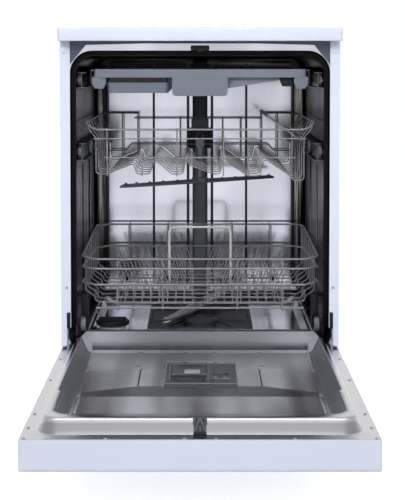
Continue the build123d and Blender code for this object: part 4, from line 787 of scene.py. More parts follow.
def liner_rim():
    """The pressed rim from the flange's edge over the top and down into the recess."""
    steps = [
        (296.0, -586.5, 2.0, 157.2, 0.0),
        (296.3, -586.8, 2.0, 158.0, 0.0),
        (290.6, -581.0, 12.0, 158.0, 0.0),
        (276.0, -566.0, 38.0, 158.0, 0.0),
        (273.4, -563.0, 36.0, 158.5, 0.0),
        (272.0, -560.6, 35.0, 160.2, 0.0),
        (271.2, -556.0, 34.4, 163.2, 0.0),
        (268.8, -537.5, 33.0, 174.4, 0.0),
        (267.6, -534.0, 32.0, 176.6, 0.0),
        (265.8, -530.6, 31.0, 177.8, 0.0),
        (263.5, -527.5, 30.0, 178.0, 0.0),
        (249.5, -510.0, 24.0, 178.0, 9.5),
        (247.5, -507.4, 23.0, 177.3, 10.0),
        (246.4, -505.4, 23.0, 175.0, 10.0),
        (238.8, -493.0, 22.0, 148.6, 4.0),
        (237.4, -490.8, 22.0, 146.0, 1.0),
        (234.0, -486.5, 20.0, 144.4, 0.0),
    ]
    points, faces = loft([u_loop(*step) for step in steps], closed=False, caps=False)
    kept = []
    for face in faces:
        widest = max(abs(points[i][0]) for i in face)
        nearest = min(points[i][1] for i in face)
        farthest = max(points[i][1] for i in face)
        if widest > LATCH_SLOT_HALF + 0.1 or nearest < -581.1 or farthest > -560.5:
            kept.append(face[::-1])
    return points, kept


def floor_height(x, y):
    """Pressed forms of the recess floor above its lowest plane."""
    reach = abs(x)
    fold = -225.0 - 46.0 * share_of(reach, CREASE_X, CREASE_X + 105.0)
    ramp = share_of(y, -284.0, fold)
    back = 18.0 * slope(reach, 160.0, 230.0)
    far = 1.0 - slope(y, -90.0 - back, -84.0 - back)
    edge = 1.0 - slope(reach, 226.0, 232.0)
    height = RAISE * ramp * far * edge
    if fold < y < -88.0:
        height -= CREASE_DEPTH * slope(1.5 - abs(reach - CREASE_X), 0.0, 1.5)
    for at, middle, long in ((128.0, 5.0, 62.0), (32.0, 20.0, 44.0)):
        past = max(0.0, abs(y - middle) - (long - 4.5))
        away = (past * past + (reach - at) ** 2) ** 0.5
        height = max(height, 1.8 * slope(6.0 - away, 0.0, 4.0))
    return height


def liner_floor():
    """The recess floor as a fine sheet with the dispenser's hole."""
    xs = [-FLOOR_HALF + k * FLOOR_GRID for k in range(int(2 * FLOOR_HALF / FLOOR_GRID) + 1)]
    ys = [FLOOR_NEAR + k * FLOOR_GRID for k in range(int((FLOOR_FAR - FLOOR_NEAR) / FLOOR_GRID) + 1)]
    points = [(x, y, RECESS_FLOOR + floor_height(x, y)) for y in ys for x in xs]
    faces = []
    for face in grid_faces(len(ys), len(xs)):
        middle = [sum(points[i][axis] for i in face) / 4 for axis in (0, 1)]
        if not all(low < at < high for at, (low, high) in zip(middle, DISPENSER_HOLE)):
            faces.append(face)
    return points, faces


def liner_lip():
    """The hinge-end wall: it curves up from the floor, leans back and curls over."""
    profile = [(90.0, 145.0), (93.5, 145.3), (96.0, 146.6), (97.0, 149.0), (96.4, 152.0)]
    for k in range(1, 7):
        share = k / 7
        profile.append((96.4 - share * 23.0, 152.0 + share * 33.0))
    profile += [(72.8, 186.6), (71.2, 188.6), (69.2, 189.6), (66.4, 189.8)]
    shares = [-1.0, -0.996, -0.985, -0.96] + [-0.9 + 0.18 * k for k in range(11)] + [0.96, 0.985, 0.996, 1.0]
    rings = []
    for share in shares:
        rings.append([(share * lip_half(z), y, z) for y, z in profile])
    return loft(rings, closed=False, caps=False)


def lip_half(z):
    """Half of the lip's width, which grows from its foot to its top."""
    return 233.5 + 14.0 * share_of(z, 145.0, 187.0)


def mitre():
    """The right corner between the recess wall's end and the lip."""
    profile = ((259.0, 178.0), (257.5, 177.3), (249.0, 161.0), (242.8, 148.6), (236.0, 145.0))
    wall = [(x, 58.0, z) for x, z in profile]
    lip = [
        (247.2, 68.0, 189.4), (246.2, 73.6, 185.4), (241.0, 84.0, 170.0), (236.5, 92.5, 155.5),
        (233.8, 95.5, 146.2),
    ]
    middle = [tuple((p + q) / 2 for p, q in zip(a, b)) for a, b in zip(wall, lip)]
    return loft([wall, middle, lip], closed=False, caps=False)


class DISHWASHER_OT_door_liner(bpy.types.Operator):
    """Pressed steel liner of the door"""

    bl_idname = "dishwasher.door_liner"
    bl_label = "Door Liner"

    def execute(self, context):
        sheet = context.scene.dishwasher_sizes.sheet
        pressing = [liner_rim(), liner_floor(), liner_lip()]
        make_piece(
            "liner_pressing", pressing, "liner_steel", "door", ("door_liner",), crisp=24.0,
            wall=sheet
        )
        make_piece("liner_corners", pair(mitre()), "liner_steel", "door", wall=sheet)
        strips = []
        # The floor's edge beads are painted nearly white: painted highlights.
        for at, near, far in ((231.0, -100.0, 52.0), (228.2, -272.0, -107.0), (225.2, -391.0, -291.0)):
            strips += pair(
                bevelled_box(at - 1.5, at + 1.5, near, far, RECESS_FLOOR - 0.2, RECESS_FLOOR + 1.2, 0.5)
            )
        make_piece("floor_edge_beads", strips, "edge_steel", "door", crisp=60.0)
        return {"FINISHED"}


# Rubber seal


def arch_path(half_x, top, corner, low):
    """Points and outward directions from the left foot over the arch to the right foot."""
    right = []
    for k in range(9):
        right.append(((half_x, low + (top - corner - low) * k / 8), (1.0, 0.0)))
    for k in range(1, 13):
        angle = pi / 2 * k / 12
        right.append((
            (half_x - corner * (1 - cos(angle)), top - corner * (1 - sin(angle))), (cos(angle), sin(angle))
        ))
    for k in range(1, 7):
        right.append((((half_x - corner) * (1 - k / 6), top), (0.0, 1.0)))
    left = [((-x, z), (-a, b)) for (x, z), (a, b) in right[:-1]]
    return left + right[::-1]


def swept_arch(path, section):
    """A closed section of (inward, y) pairs carried along the arch."""
    rings = []
    for (x, z), (a, b) in path:
        rings.append([(x - a * inward, y, z - b * inward) for inward, y in section])
    return loft(rings)


class DISHWASHER_OT_seal(bpy.types.Operator):
    """Rubber seal around the opening"""

    bl_idname = "dishwasher.seal"
    bl_label = "Door Seal"

    def execute(self, context):
        path = arch_path(COLLAR_HALF - 0.3, COLLAR_TOP - 0.3, 47.7, COLLAR_LOW)
        section = [
            (0.0, 84.8), (0.0, 70.5), (0.8, 68.8), (2.4, 68.1), (4.2, 68.5), (5.2, 70.2), (4.6, 72.4),
            (5.6, 74.0), (7.4, 72.8), (9.2, 73.0), (9.9, 74.8), (9.7, 79.0), (9.2, 83.0), (7.6, 84.7),
        ]
        band = [swept_arch(path, section)]
        make_piece("seal_band", band, "rubber", "cabinet", ("door_seal",), crisp=180.0)
        return {"FINISHED"}


# Tub beads


def half_round(x0, x1, y, z0, z1, height):
    """An upright pressed bead on the back wall, tapering into the sheet at its ends."""
    rings = []
    for k in range(11):
        z = z0 + (z1 - z0) * k / 10
        rise = height * min(1.0, 4.0 * min(k, 10 - k) / 10 + 0.02)
        ring = []
        for j in range(9):
            angle = pi * j / 8
            ring.append(((x0 + x1) / 2 - (x1 - x0) / 2 * cos(angle), y - rise * sin(angle), z))
        rings.append(ring)
    return loft(rings, closed=False, caps=False)


class DISHWASHER_OT_tub_beads(bpy.types.Operator):
    """Pressed beads of the tub's back wall"""

    bl_idname = "dishwasher.tub_beads"
    bl_label = "Tub Beads"

    def execute(self, context):
        beads = []
        for x, wide in ((30.5, 7.0), (118.0, 6.0), (236.0, 8.0)):
            beads += pair(half_round(x - wide / 2, x + wide / 2, BACK_WALL, TUB_FLOOR + 36, 768.0, 3.0))
        # The beads wear the near-black steel: painted shade.
        make_piece("back_wall_beads", beads, "bead_steel", "cabinet", crisp=180.0)
        return {"FINISHED"}


# Lower basket

LOWER_FRONT = 95.0
LOWER_REAR = 538.0
LOWER_OUT = 259.65
LOWER_HALF = 255.0
LOWER_FLOOR_HALF = 229.0
LOWER_FLOOR = 236.0
LOWER_RIM_FRONT = 343.0
LOWER_RIM_REAR = 360.0
LOW_RIM_Z = 287.0
PRONG_FOOT = 26.0
PRONG_LEAN = 0.3443
PRONG_HEIGHTS = (50.0, 78.0)
CROSS_YS = [135.0 + (508.0 - 135.0) * k / 15 for k in range(16)]
CROSS_PITCH = CROSS_YS[1] - CROSS_YS[0]
LONG_XS = (180.0, 82.0)
PRONG_XS = [LONG_XS[1] + 18.7 * (k + 0.5) for k in range(-4, 6)]
PRONG_ROWS = [CROSS_YS[k] + CROSS_PITCH / 2 for k in (0, 3, 6, 9)]
FOLD_Y = CROSS_YS[12] + CROSS_PITCH / 2
FOLD_Z = LOWER_FLOOR + 4.5


def lower_rim_z(y):
    """Height of the top rim, which rises to the rear."""
    return LOWER_RIM_FRONT + share_of(y, LOWER_FRONT, LOWER_REAR) * (LOWER_RIM_REAR - LOWER_RIM_FRONT)


def lower_loop(front_z, rear_z):
    """A closed rim round the basket, from its front height to its rear height."""
    toe = front_z + (rear_z - front_z) * 0.08
    right = [
        (LOWER_FLOOR_HALF, LOWER_FRONT, front_z),
        (LOWER_OUT, LOWER_FRONT + 35, toe),
        (LOWER_OUT, LOWER_REAR - 24, rear_z),
        (LOWER_OUT - 24, LOWER_REAR, rear_z),
    ]
    return right + [(-x, y, z) for x, y, z in right[::-1]] + right[:1]


def lower_cross(y):
    """A cross wire from rim to rim."""
    return across([
        (LOWER_FLOOR_HALF - 3, y, LOWER_FLOOR),
        (LOWER_FLOOR_HALF + 5, y, LOWER_FLOOR + 5),
        (LOWER_FLOOR_HALF + 7, y, LOWER_FLOOR + 14),
        (LOWER_HALF, y, LOWER_FLOOR + 27),
        (LOWER_HALF, y, lower_rim_z(y) + 3),
    ])


def lower_long(x):
    """A wire under the floor, up to the rim at both ends."""
    front = LOWER_FRONT + RIM_WELD
    rear = LOWER_REAR - RIM_WELD
    z = LOWER_FLOOR - 4.0
    return [
        (x, front, LOWER_RIM_FRONT + 1), (x, front, z - 10), (x, front + 12, z), (x, rear - 12, z),
        (x, rear, z + 12), (x, rear, lower_rim_z(rear)),
    ]


def prong(x, y, z, height):
    """A prong that stands up and then leans outwards."""
    side = 1 if x > 0 else -1
    lean = side * (height - PRONG_FOOT) * PRONG_LEAN
    return [(x, y, z), (x, y, z + PRONG_FOOT), (x + lean, y, z + height)]


def prong_height(y):
    """Height of a row's prongs, which grows to the rear."""
    low, high = PRONG_HEIGHTS
    return low + (high - low) * share_of(y, PRONG_ROWS[0], FOLD_Y)


def prong_bars(y, z):
    """The two bars that a row of prongs stands on."""
    return [[(side * (PRONG_XS[0] - 7), y, z), (side * (PRONG_XS[-1] + 9), y, z)] for side in (-1, 1)]


def prong_row(y, z):
    return [prong(side * x, y, z + 1.0, prong_height(y)) for side in (-1, 1) for x in PRONG_XS]


class DISHWASHER_OT_lower_basket(bpy.types.Operator):
    """Welded wires of the lower basket, with its fixed and folding prongs"""

    bl_idname = "dishwasher.lower_basket"
    bl_label = "Lower Basket"

    def execute(self, context):
        sizes = context.scene.dishwasher_sizes
        foot = LOWER_FLOOR_HALF - 3
        low_rim = [
            (LOWER_FLOOR_HALF, LOWER_FRONT, LOW_RIM_Z), (LOWER_OUT, LOWER_FRONT + 35, LOW_RIM_Z),
            (LOWER_OUT, CROSS_YS[1] + 6, LOW_RIM_Z),
        ]
        rims = [
            lower_loop(LOWER_RIM_FRONT, LOWER_RIM_REAR), lower_loop(322.0, 304.0), across(low_rim),
            across([(foot, LOWER_FRONT, LOWER_FLOOR)]),
        ]
        wires = [lower_cross(y) for y in CROSS_YS[1::2]]
        for x in LONG_XS:
            wires += [lower_long(x), lower_long(-x)]
        prongs = []
        for y in PRONG_ROWS:
            wires += prong_bars(y, LOWER_FLOOR)
            prongs += prong_row(y, LOWER_FLOOR)
        wire_piece("lower_basket_wires", [
            (rims, sizes.rim_radius, 0.014),
            (wires, sizes.wire_radius, sizes.bend_radius),
            (prongs, sizes.prong_radius, sizes.bend_radius),
        ], "coated_wire", "lower_rack", ("lower_basket", "plate_prongs"))
        wire_piece("folding_prongs", [
            (prong_bars(FOLD_Y, FOLD_Z), sizes.wire_radius, sizes.bend_radius),
            (prong_row(FOLD_Y, FOLD_Z), sizes.prong_radius, sizes.bend_radius),
        ], "coated_wire", "folding_tines", ("folding_tines",))
        bow = across([(72.0, CROSS_YS[7], 384.0), (72.0, CROSS_YS[7], 238.0)])
        wire_piece(
            "basket_handle", [([bow], 0.003, 0.012)], "handle_moulding", "lower_rack",
            ("lower_handle",)
        )
        return {"FINISHED"}


# Upper basket

UPPER_HALF = 229.0
UPPER_RIM = 637.0
WAVE_YS = [CENTRE_Y + (k - 7.5) * 28.3 for k in range(16)]
UPRIGHT_FRONT = WAVE_YS[0] - WELD
UPRIGHT_REAR = WAVE_YS[-1] + WELD
UPPER_FRONT = UPRIGHT_FRONT - RIM_WELD
UPPER_REAR = UPRIGHT_REAR + RIM_WELD
LEFT_VALLEYS = [
    (-204, 526), (-146, 550), (-139, 526), (-111, 526), (-101.5, 561), (-62, 526), (-37, 526), (-33, 557),
    (-29, 557), (-23, 546),
]
RIGHT_VALLEYS = [
    (30, 526), (44, 526), (50.5, 559), (106, 522), (132, 522), (141, 561), (199, 522), (205, 512),
]


def upper_side(low):
    """The right side of a cross wire, from the rim down to its floor at a height."""
    return [
        (UPPER_HALF + 20, UPPER_RIM), (UPPER_HALF + 14, UPPER_RIM - 14), (UPPER_HALF, UPPER_RIM - 31),
        (UPPER_HALF, low + 5), (UPPER_HALF - 5, low),
    ]


def upper_cross(y):
    """A waved cross wire from rim to rim."""
    left = [(-x, z) for x, z in upper_side(LEFT_VALLEYS[0][1])]
    outline = left + LEFT_VALLEYS + RIGHT_VALLEYS + upper_side(RIGHT_VALLEYS[-1][1])[::-1]
    return [(x, y, z) for x, z in outline]


class DISHWASHER_OT_upper_basket(bpy.types.Operator):
    """Welded wires of the upper basket, with the carriers of its wheels"""

    bl_idname = "dishwasher.upper_basket"
    bl_label = "Upper Basket"

    def execute(self, context):
        sizes = context.scene.dishwasher_sizes
        side_z = UPPER_RIM + 3.6
        rim = across([
            (UPPER_HALF - 4, UPPER_FRONT, UPPER_RIM - 11), (UPPER_HALF + 12, UPPER_FRONT + 8, UPPER_RIM - 5),
            (UPPER_HALF + 20, UPPER_FRONT + 22, side_z), (UPPER_HALF + 20, UPPER_REAR - 16, side_z),
            (UPPER_HALF + 6, UPPER_REAR, UPPER_RIM + 6), (157, UPPER_REAR, UPPER_RIM + 6),
        ])
        front_y = UPRIGHT_FRONT - WELD
        rear_y = UPRIGHT_REAR + WELD
        wires = [upper_cross(y) for y in WAVE_YS[1::2]]
        for z, reach in ((606, UPPER_HALF + 2), (565, 207)):
            wires.append([(-reach, front_y, z), (reach, front_y, z)])
        wires.append([(-167, rear_y, 630), (157, rear_y, 630)])
        wires.append([(x, rear_y, z) for x, z in (
            (-229, 548), (-187, 548), (-175, 564), (172, 564), (187, 548), (229, 548)
        )])
        for x, top in ((-202, 629), (-126, 568), (-50, 629), (51, 629), (106, 568), (200, 629)):
            wires.append([(x, UPRIGHT_FRONT, 524), (x, UPRIGHT_FRONT, top)])
        for x, top in ((-196, 645), (-157, 645), (-50, 632), (58, 632), (104, 632), (156, 645), (196, 645)):
            wires.append([(x, UPRIGHT_REAR, 530), (x, UPRIGHT_REAR, top)])
        wire_piece("upper_basket_wires", [
            ([rim], sizes.rim_radius, 0.012),
            (wires, sizes.wire_radius, sizes.bend_radius),
        ], "coated_wire", "upper_rack", ("upper_basket", "basket_stays"))
        outline = [
            (260, 568), (260, 585), (268, 590.5), (516, 590.5), (524, 585), (524, 568), (516, 562.5),
            (268, 562.5),
        ]
        carriers = pair(bevelled(loft([[(x, y, z) for y, z in outline] for x in (231.6, 234.6)]), 1.0))
        axle = lathe([(232, 5.9), (247.6, 5.9), (248.2, 5.2), (248.3, 3.0), (256.0, 3.0), (256.3, 2.4)], 20)
        for y in UPPER_WHEEL_YS:
            carriers += pair(moved(axle, (0, y, UPPER_RAIL_Z)))
        for y in (WAVE_YS[1], WAVE_YS[13]):
            carriers.append(bevelled_box(217, 226.6, y - 3, y + 3, 595, 605, 1.2))
        make_piece("basket_carriers", carriers, "charcoal_moulding", "upper_rack")
        return {"FINISHED"}


# Spray arms


def arm_shell(half_length, half_width, height, bow):
    """A hollow-looking arm about the origin: flat below, crowned above, narrower at its tips."""
    rings = []
    steps = 40
    for k in range(steps + 1):
        t = -1 + 2 * k / steps
        reach = abs(t)
        wide = half_width * (1 - 0.38 * slope(reach, 0.15, 1.0))
        tall = height * (1 - 0.18 * reach)
        if reach > 0.94:
            end = (reach - 0.94) / 0.06
            wide *= max(0.22, max(0.0, 1 - end * end) ** 0.5)
            tall *= max(0.5, max(0.0, 1 - end * end) ** 0.5)
        x = t * half_length
        drift = bow * sin(pi * t)
        ring = []
        for j in range(20):
            angle = 2 * pi * j / 20
            side = cos(angle)
            up = sin(angle)
            y = wide * (abs(side) ** 0.6) * (1 if side > 0 else -1)
            z = tall * (0.32 + 0.68 * (abs(up) ** 0.7)) if up > 0 else tall * (0.32 - 0.32 * (abs(up) ** 0.5))
            ring.append((x, y + drift, z))
        rings.append(ring)
    points, faces = loft(rings)
    return points, [face[::-1] for face in faces]


def upright(part):
    """Turns a lathe about X so that it stands along Z."""
    return moved(part, turn=Matrix.Rotation(-pi / 2, 3, "Y"))


def dome(radius, low, high):
    """A round-topped jet about X."""
    ring = [(low, radius)]
    for k in range(1, 5):
        angle = pi / 2 * k / 4.4
        ring.append((low + (high - low) * sin(angle), radius * cos(angle)))
    return lathe(ring, 14)


def spray_arm(name, z, half_length, half_width, angle, bow, finish, body):
    """An arm with jets, a ribbed hub and its nut, in place of its body's own node."""
    parts = [arm_shell(half_length, half_width, 9.0, bow)]
    jet = upright(dome(3.6, 6.0, 11.0))
    for k in (0.28, 0.46, 0.63, 0.79, 0.92):
        parts += [moved(jet, (side * k * half_length, -side * 3.5, 0)) for side in (-1, 1)]
    hub = [(0.2, 17.0), (0.2, 19.0), (8.0, 19.0), (11.5, 18.0), (13.0, 16.0), (13.0, 10.6)]
    parts.append(upright(lathe(hub, 40)))
    rib = bevelled_box(17.5, 19.6, -1.2, 1.2, 8.0, 12.0, 0.4, 1)
    parts += [moved(rib, turn=Matrix.Rotation(pi / 4 * k, 3, "Z")) for k in range(8)]
    turn = Matrix.Rotation(radians(angle), 3, "Z")
    parts = [moved(part, (0, CENTRE_Y, z), turn) for part in parts]
    make_piece(name, parts, finish, body, (body,), crisp=42.0)


class DISHWASHER_OT_spray_arms(bpy.types.Operator):
    """Lower and upper spray arms"""

    bl_idname = "dishwasher.spray_arms"
    bl_label = "Spray Arms"

    def execute(self, context):
        spray_arm("lower_spray_arm", 197.0, 212.0, 20.5, 68.0, 4.0, "arm_steel", "lower_arm")
        spray_arm(
            "upper_spray_arm", 488.0, 215.0, 18.5, 33.0, 0.0, "slate_moulding", "upper_arm"
        )
        return {"FINISHED"}


# Wheels and rollers

ROLLER_XS = (259.0, 266.0)
WHEEL_XS = (249.05, 256.05)
LOWER_WHEEL_XS = (251.0, 262.0)
LOWER_AXLE_Z = 195.3


def spoked_wheel(x0, x1, radius):
    """A wheel about X with a rounded tread, dished faces, a hub and five spokes."""
    mid = (x0 + x1) / 2
    reach = (x1 - x0) / 2 * 0.82
    hub = 6.2
    half = [
        (x0 + 0.4, 3.3), (x0, 3.6), (x0, hub - 0.4), (x0 + 0.5, hub), (mid - 0.9, hub + 0.6),
        (mid - 0.9, radius - 4.4), (x0 + 0.5, radius - 3.6), (x0, radius - 3.2), (x0, radius - 1.0),
        (x0 + 0.8, radius - 0.1),
    ]
    parts = [lathe([*half, (mid, radius), *[(x0 + x1 - x, r) for x, r in half[::-1]]], 36)]
    spoke = bevelled_box(mid - reach, mid + reach, -1.1, 1.1, hub - 0.6, radius - 3.4, 0.4, 1)
    parts += [moved(spoke, turn=Matrix.Rotation(2 * pi * k / 5, 3, "X")) for k in range(5)]
    return joined(parts)


class DISHWASHER_OT_wheels(bpy.types.Operator):
    """Wheels of the racks and rollers of the rails"""

    bl_idname = "dishwasher.wheels"
    bl_label = "Wheels"

    def execute(self, context):
        wheels = [
            ("upper_rollers_front", ROLLER_XS, 17.0, 125.0, UPPER_RAIL_Z),
            ("upper_rollers_rear", ROLLER_XS, 17.0, 203.0, UPPER_RAIL_Z),
            ("tray_rollers", ROLLER_XS, 15.0, 125.0, TRAY_RAIL_Z),
            ("upper_wheels_front", WHEEL_XS, 17.0, UPPER_WHEEL_YS[0], UPPER_RAIL_Z),
            ("upper_wheels_rear", WHEEL_XS, 17.0, UPPER_WHEEL_YS[1], UPPER_RAIL_Z),
            ("tray_wheels", WHEEL_XS, 15.0, UPPER_WHEEL_YS[1], TRAY_RAIL_Z),
            ("lower_wheels_front", LOWER_WHEEL_XS, 17.0, CROSS_YS[0] - CROSS_PITCH / 2, LOWER_AXLE_Z),
            ("lower_wheels_rear", LOWER_WHEEL_XS, 17.0, CROSS_YS[13] + CROSS_PITCH / 2, LOWER_AXLE_Z),
        ]
        for node, xs, radius, y, z in wheels:
            wheel = moved(spoked_wheel(*xs, radius), (0, y, z))
            make_piece(node + "_spoked", pair(wheel), "grey_moulding", node, (node,))
        return {"FINISHED"}


# Screws

PANEL_SCREW_X = 289.0
LINER_SCREW_X = 289.5


def screw_head(radius, height):
    """A pan head about X with a cross recess."""
    steps = 32
    profile = [
        (0.0, radius), (height * 0.45, radius * 0.98), (height * 0.8, radius * 0.82), (height, radius * 0.5),
        (height, radius * 0.3), (height, radius * 0.1),
    ]
    points, faces = lathe(profile, steps)
    sunk = []
    for i, (x, y, z) in enumerate(points):
        ring = i // steps
        turn = atan2(z, y) % (pi / 2)
        slot = min(turn, pi / 2 - turn) < 0.2
        if ring >= 5 or (ring >= 3 and slot):
            x -= height * 0.4
        sunk.append((x, y, z))
    return sunk, faces


class DISHWASHER_OT_screws(bpy.types.Operator):
    """Screws of the panels and of the liner"""

    bl_idname = "dishwasher.screws"
    bl_label = "Screws"

    def execute(self, context):
        head = screw_head(3.6, 1.6)
        front = [(x, FLANGE_Y, 793.0) for x in (-PANEL_SCREW_X, PANEL_SCREW_X)]
        rear = [(x, 579.0, z) for x in (-PANEL_SCREW_X, PANEL_SCREW_X) for z in (330, 520, 710)]
        repeated(
            "front_screws", front, head, (0, 0, -90), "white_moulding", "cabinet", ("panel_screws",)
        )
        repeated("rear_screws", rear, head, (0, 0, 90), "zinc", "cabinet")
        spots = [(x, -584.5, INNER_FACE) for x in (-155.0, -26.0, 26.0, 155.0)]
        for y in (-582.0, -524.0, -443.0, -215.0, -50.0):
            spots += [(-LINER_SCREW_X, y, INNER_FACE), (LINER_SCREW_X, y, INNER_FACE)]
        head = screw_head(2.9, 1.4)
        repeated(
            "liner_screw_heads", spots, head, (0, -90, 0), "zinc", "door", ("liner_screws",)
        )
        return {"FINISHED"}


# Trims of the front


def bar_between(a, b, half_width, height):
    """A low rib from a to b that stands up along Z."""
    a = Vector(a)
    b = Vector(b)
    side = (b - a).cross(Vector((0.0, 0.0, 1.0))).normalized() * half_width
    up = side.cross(b - a).normalized() * height
    ring = [a + side, a - side, a - side * 0.5 + up, a + side * 0.5 + up]
    other = [p + (b - a) for p in ring]
    return loft([[tuple(p) for p in ring], [tuple(p) for p in other]])


class DISHWASHER_OT_trims(bpy.types.Operator):
    """Hinge covers, flange plugs, latch guide and docking shroud"""

    bl_idname = "dishwasher.trims"
    bl_label = "Trims"

    def execute(self, context):
        cover = bevelled_box(278.6, 285.7, 48.6, 51.0, 200.1, 233.9, 0.9)
        make_piece(
            "hinge_cover_plates", pair(cover), "dark_moulding", "cabinet", ("flange_trims",)
        )
        plug = lathe([(0.0, 3.6), (0.7, 3.5), (1.2, 2.9), (1.4, 1.8), (1.1, 0.6)], 24)
        spots = [(x, FLANGE_Y, 289.0) for x in (-285.5, 285.5)]
        repeated("flange_plugs", spots, plug, (0, 0, -90), "light_moulding", "cabinet")
        ribs = [bar_between((0.0, -561.0, 163.6), (0.0, -552.0, 168.4), 0.9, 1.1)]
        for side in (-1, 1):
            ribs.append(bar_between((side * 8.6, -561.0, 163.6), (side * 0.4, -534.5, 177.7), 0.9, 1.1))
            ribs.append(bar_between((side * 10.0, -561.0, 163.4), (side * 10.0, -533.5, 177.6), 0.6, 0.9))
        make_piece("latch_ribs", ribs, "grey_moulding", "door", crisp=0.0)
        guide = [bar_between((0.0, -546.0, 169.8), (0.0, -533.2, 177.2), 12.0, 1.0)]
        make_piece("latch_guide", guide, "charcoal_moulding", "door", crisp=0.0)
        ring = moved(
            lathe([(0.0, 20.0), (1.4, 20.0), (2.0, 19.4), (2.0, 15.2), (1.4, 14.6), (0.0, 14.6)], 40),
            (0.0, 541.4, 581.0), Matrix.Rotation(-pi / 2, 3, "Z")
        )
        shroud = bevelled_box(-30.0, 30.0, 541.2, 549.0, 553.0, 603.0, 2.0)
        clips = pair(bevelled_box(23.5, 28.5, 539.6, 542.0, 572.0, 590.0, 0.8))
        make_piece("docking_shroud", [ring, shroud, *clips], "dark_moulding", "cabinet")
        return {"FINISHED"}


class DISHWASHER_OT_dispenser(bpy.types.Operator):
    """Raised borders, grip and tabs of the dispenser"""

    bl_idname = "dishwasher.dispenser"
    bl_label = "Dispenser"

    def execute(self, context):
        high, low = 155.9, 155.6
        bars = [
            (-69.0, -67.2, -231.0, -55.0, high), (71.2, 73.0, -231.0, -55.0, high),
            (-67.2, 71.2, -231.0, -228.6, high), (-67.2, 71.2, -57.4, -55.0, high),
            (15.6, 17.0, -228.0, -58.0, high), (-58.5, 14.5, -158.2, -156.4, low),
            (-60.4, -58.8, -208.0, -70.0, low),
        ]
        bars = [bevelled_box(*bar[:4], 154.6, bar[4], 0.4) for bar in bars]
        make_piece("dispenser_borders", bars, "border_moulding", "door")
        tabs = [
            (21.0, 59.0, -197.0, -195.4), (21.0, 22.4, -196.0, -140.0), (57.6, 59.0, -196.0, -140.0),
            (28.0, 34.0, -190.0, -176.0), (46.0, 52.0, -190.0, -176.0),
        ]
        tabs = [bevelled_box(*tab, low, 156.7, 0.35) for tab in tabs]
        make_piece("flap_tabs", tabs, "border_moulding", "rinse_flap")
        button = bevelled_box(-31.0, 0.0, -147.5, -121.0, 153.6, 155.2, 0.7)
        make_piece("lid_button", [button], "light_moulding", "detergent_lid")
        # A thin near-black strip on the lid stands for its groove: painted shade.
        groove = bevelled_box(-43.0, 3.0, -88.0, -83.5, 153.6, 154.0, 0.1)
        make_piece("lid_groove", [groove], "dark_moulding", "detergent_lid", crisp=0.0)
        return {"FINISHED"}


# Tray


class DISHWASHER_OT_tray(bpy.types.Operator):
    """Wire frame of the cutlery tray and its small mouldings"""

    bl_idname = "dishwasher.tray"
    bl_label = "Cutlery Tray"

    def execute(self, context):
        sizes = context.scene.dishwasher_sizes
        low, top = 725.0, 751.0
        front, rear = 120.0, 519.55
        corners = [(front, low), (rear, low), (rear, top), (front, top), (front, low)]
        loops = [[(x, y, z) for y, z in corners] for x in (238.0, -238.0)]
        group = (loops, sizes.wire_radius, sizes.bend_radius)
        wire_piece("tray_wires", [group], "coated_wire", "tray_rack")
        outline = [
            (172.0, 739.2), (174.0, 731.0), (179.0, 719.5), (200.0, 719.5), (203.0, 724.0), (203.0, 739.2)
        ]
        clip = bevelled(loft([[(x, y, z) for x, z in outline] for y in (102.0, 111.0)]), 0.8)
        make_piece("tray_clip", [clip], "dark_moulding", "tray_rack", crisp=180.0)
        return {"FINISHED"}


# Finishes of the construction's own pieces


class DISHWASHER_OT_finishes(bpy.types.Operator):
    """Finishes of the pieces that keep their construction's shape"""

    bl_idname = "dishwasher.finishes"
    bl_label = "Finishes"

    def execute(self, context):
        for node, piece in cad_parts.items():
            put_material(piece, NODE_FINISH.get(node, "charcoal_moulding"))
        return {"FINISHED"}


# Body, slot and width of the rounding
SOFT_EDGES = {
    "worktop": ("cabinet", "worktop_board", 1.6),
    "control_panel": ("door", "white_plastic", 1.5),
    "tray": ("tray_rack", "grey_plastic", 0.7),
    "feed_duct": ("cabinet", "slate_plastic", 1.2),
    "plinth": ("cabinet", "white_plastic", 1.0),
    "wheel_clips": ("lower_rack", "dark_plastic", 0.6),
}


class DISHWASHER_OT_soft_edges(bpy.types.Operator):
    """Rounded edges of the mouldings that keep their construction's shape"""

    bl_idname = "dishwasher.soft_edges"
    bl_label = "Soft Edges"

    def execute(self, context):
        for node, (body, slot, width) in SOFT_EDGES.items():
            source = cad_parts[node]
            piece = add(node + "_soft", source.data.copy())
            piece.matrix_world = source.matrix_world.copy()
            shape = bmesh.new()
            shape.from_mesh(piece.data)
            bmesh.ops.remove_doubles(shape, verts=shape.verts[:], dist=0.00001)
            bmesh.ops.dissolve_limit(
                shape, angle_limit=radians(1.0), verts=shape.verts[:], edges=shape.edges[:]
            )
            shape.to_mesh(piece.data)
            shape.free()
            bevel = piece.modifiers.new("soft", "BEVEL")
            bevel.width = width * MM
            bevel.segments = 2
            bevel.limit_method = "ANGLE"
            bevel.angle_limit = radians(40.0)
            bevel.use_clamp_overlap = True
            apply_modifiers(piece)
            smooth(piece, 38.0)
            settle(piece, NODE_FINISH[node], body, (node,))
        return {"FINISHED"}


# Stage


def stage_material():
    """Pale floor that the camera and reflections see as white."""
    s = Shades(bpy.data.materials.new("studio_white"))
    seen = s.ray("Camera").most(s.ray("Glossy")).most(s.ray("Transmission"))
    plain = s.node("ShaderNodeBsdfDiffuse", {"Color": (0.86, 0.87, 0.89, 1.0)})
    glow = s.node("ShaderNodeEmission", {"Color": (1.0, 1.0, 1.0, 1.0), "Strength": seen * 0.72})
    return s.end(s.node("ShaderNodeAddShader", {0: plain.outputs[0], 1: glow.outputs[0]}))


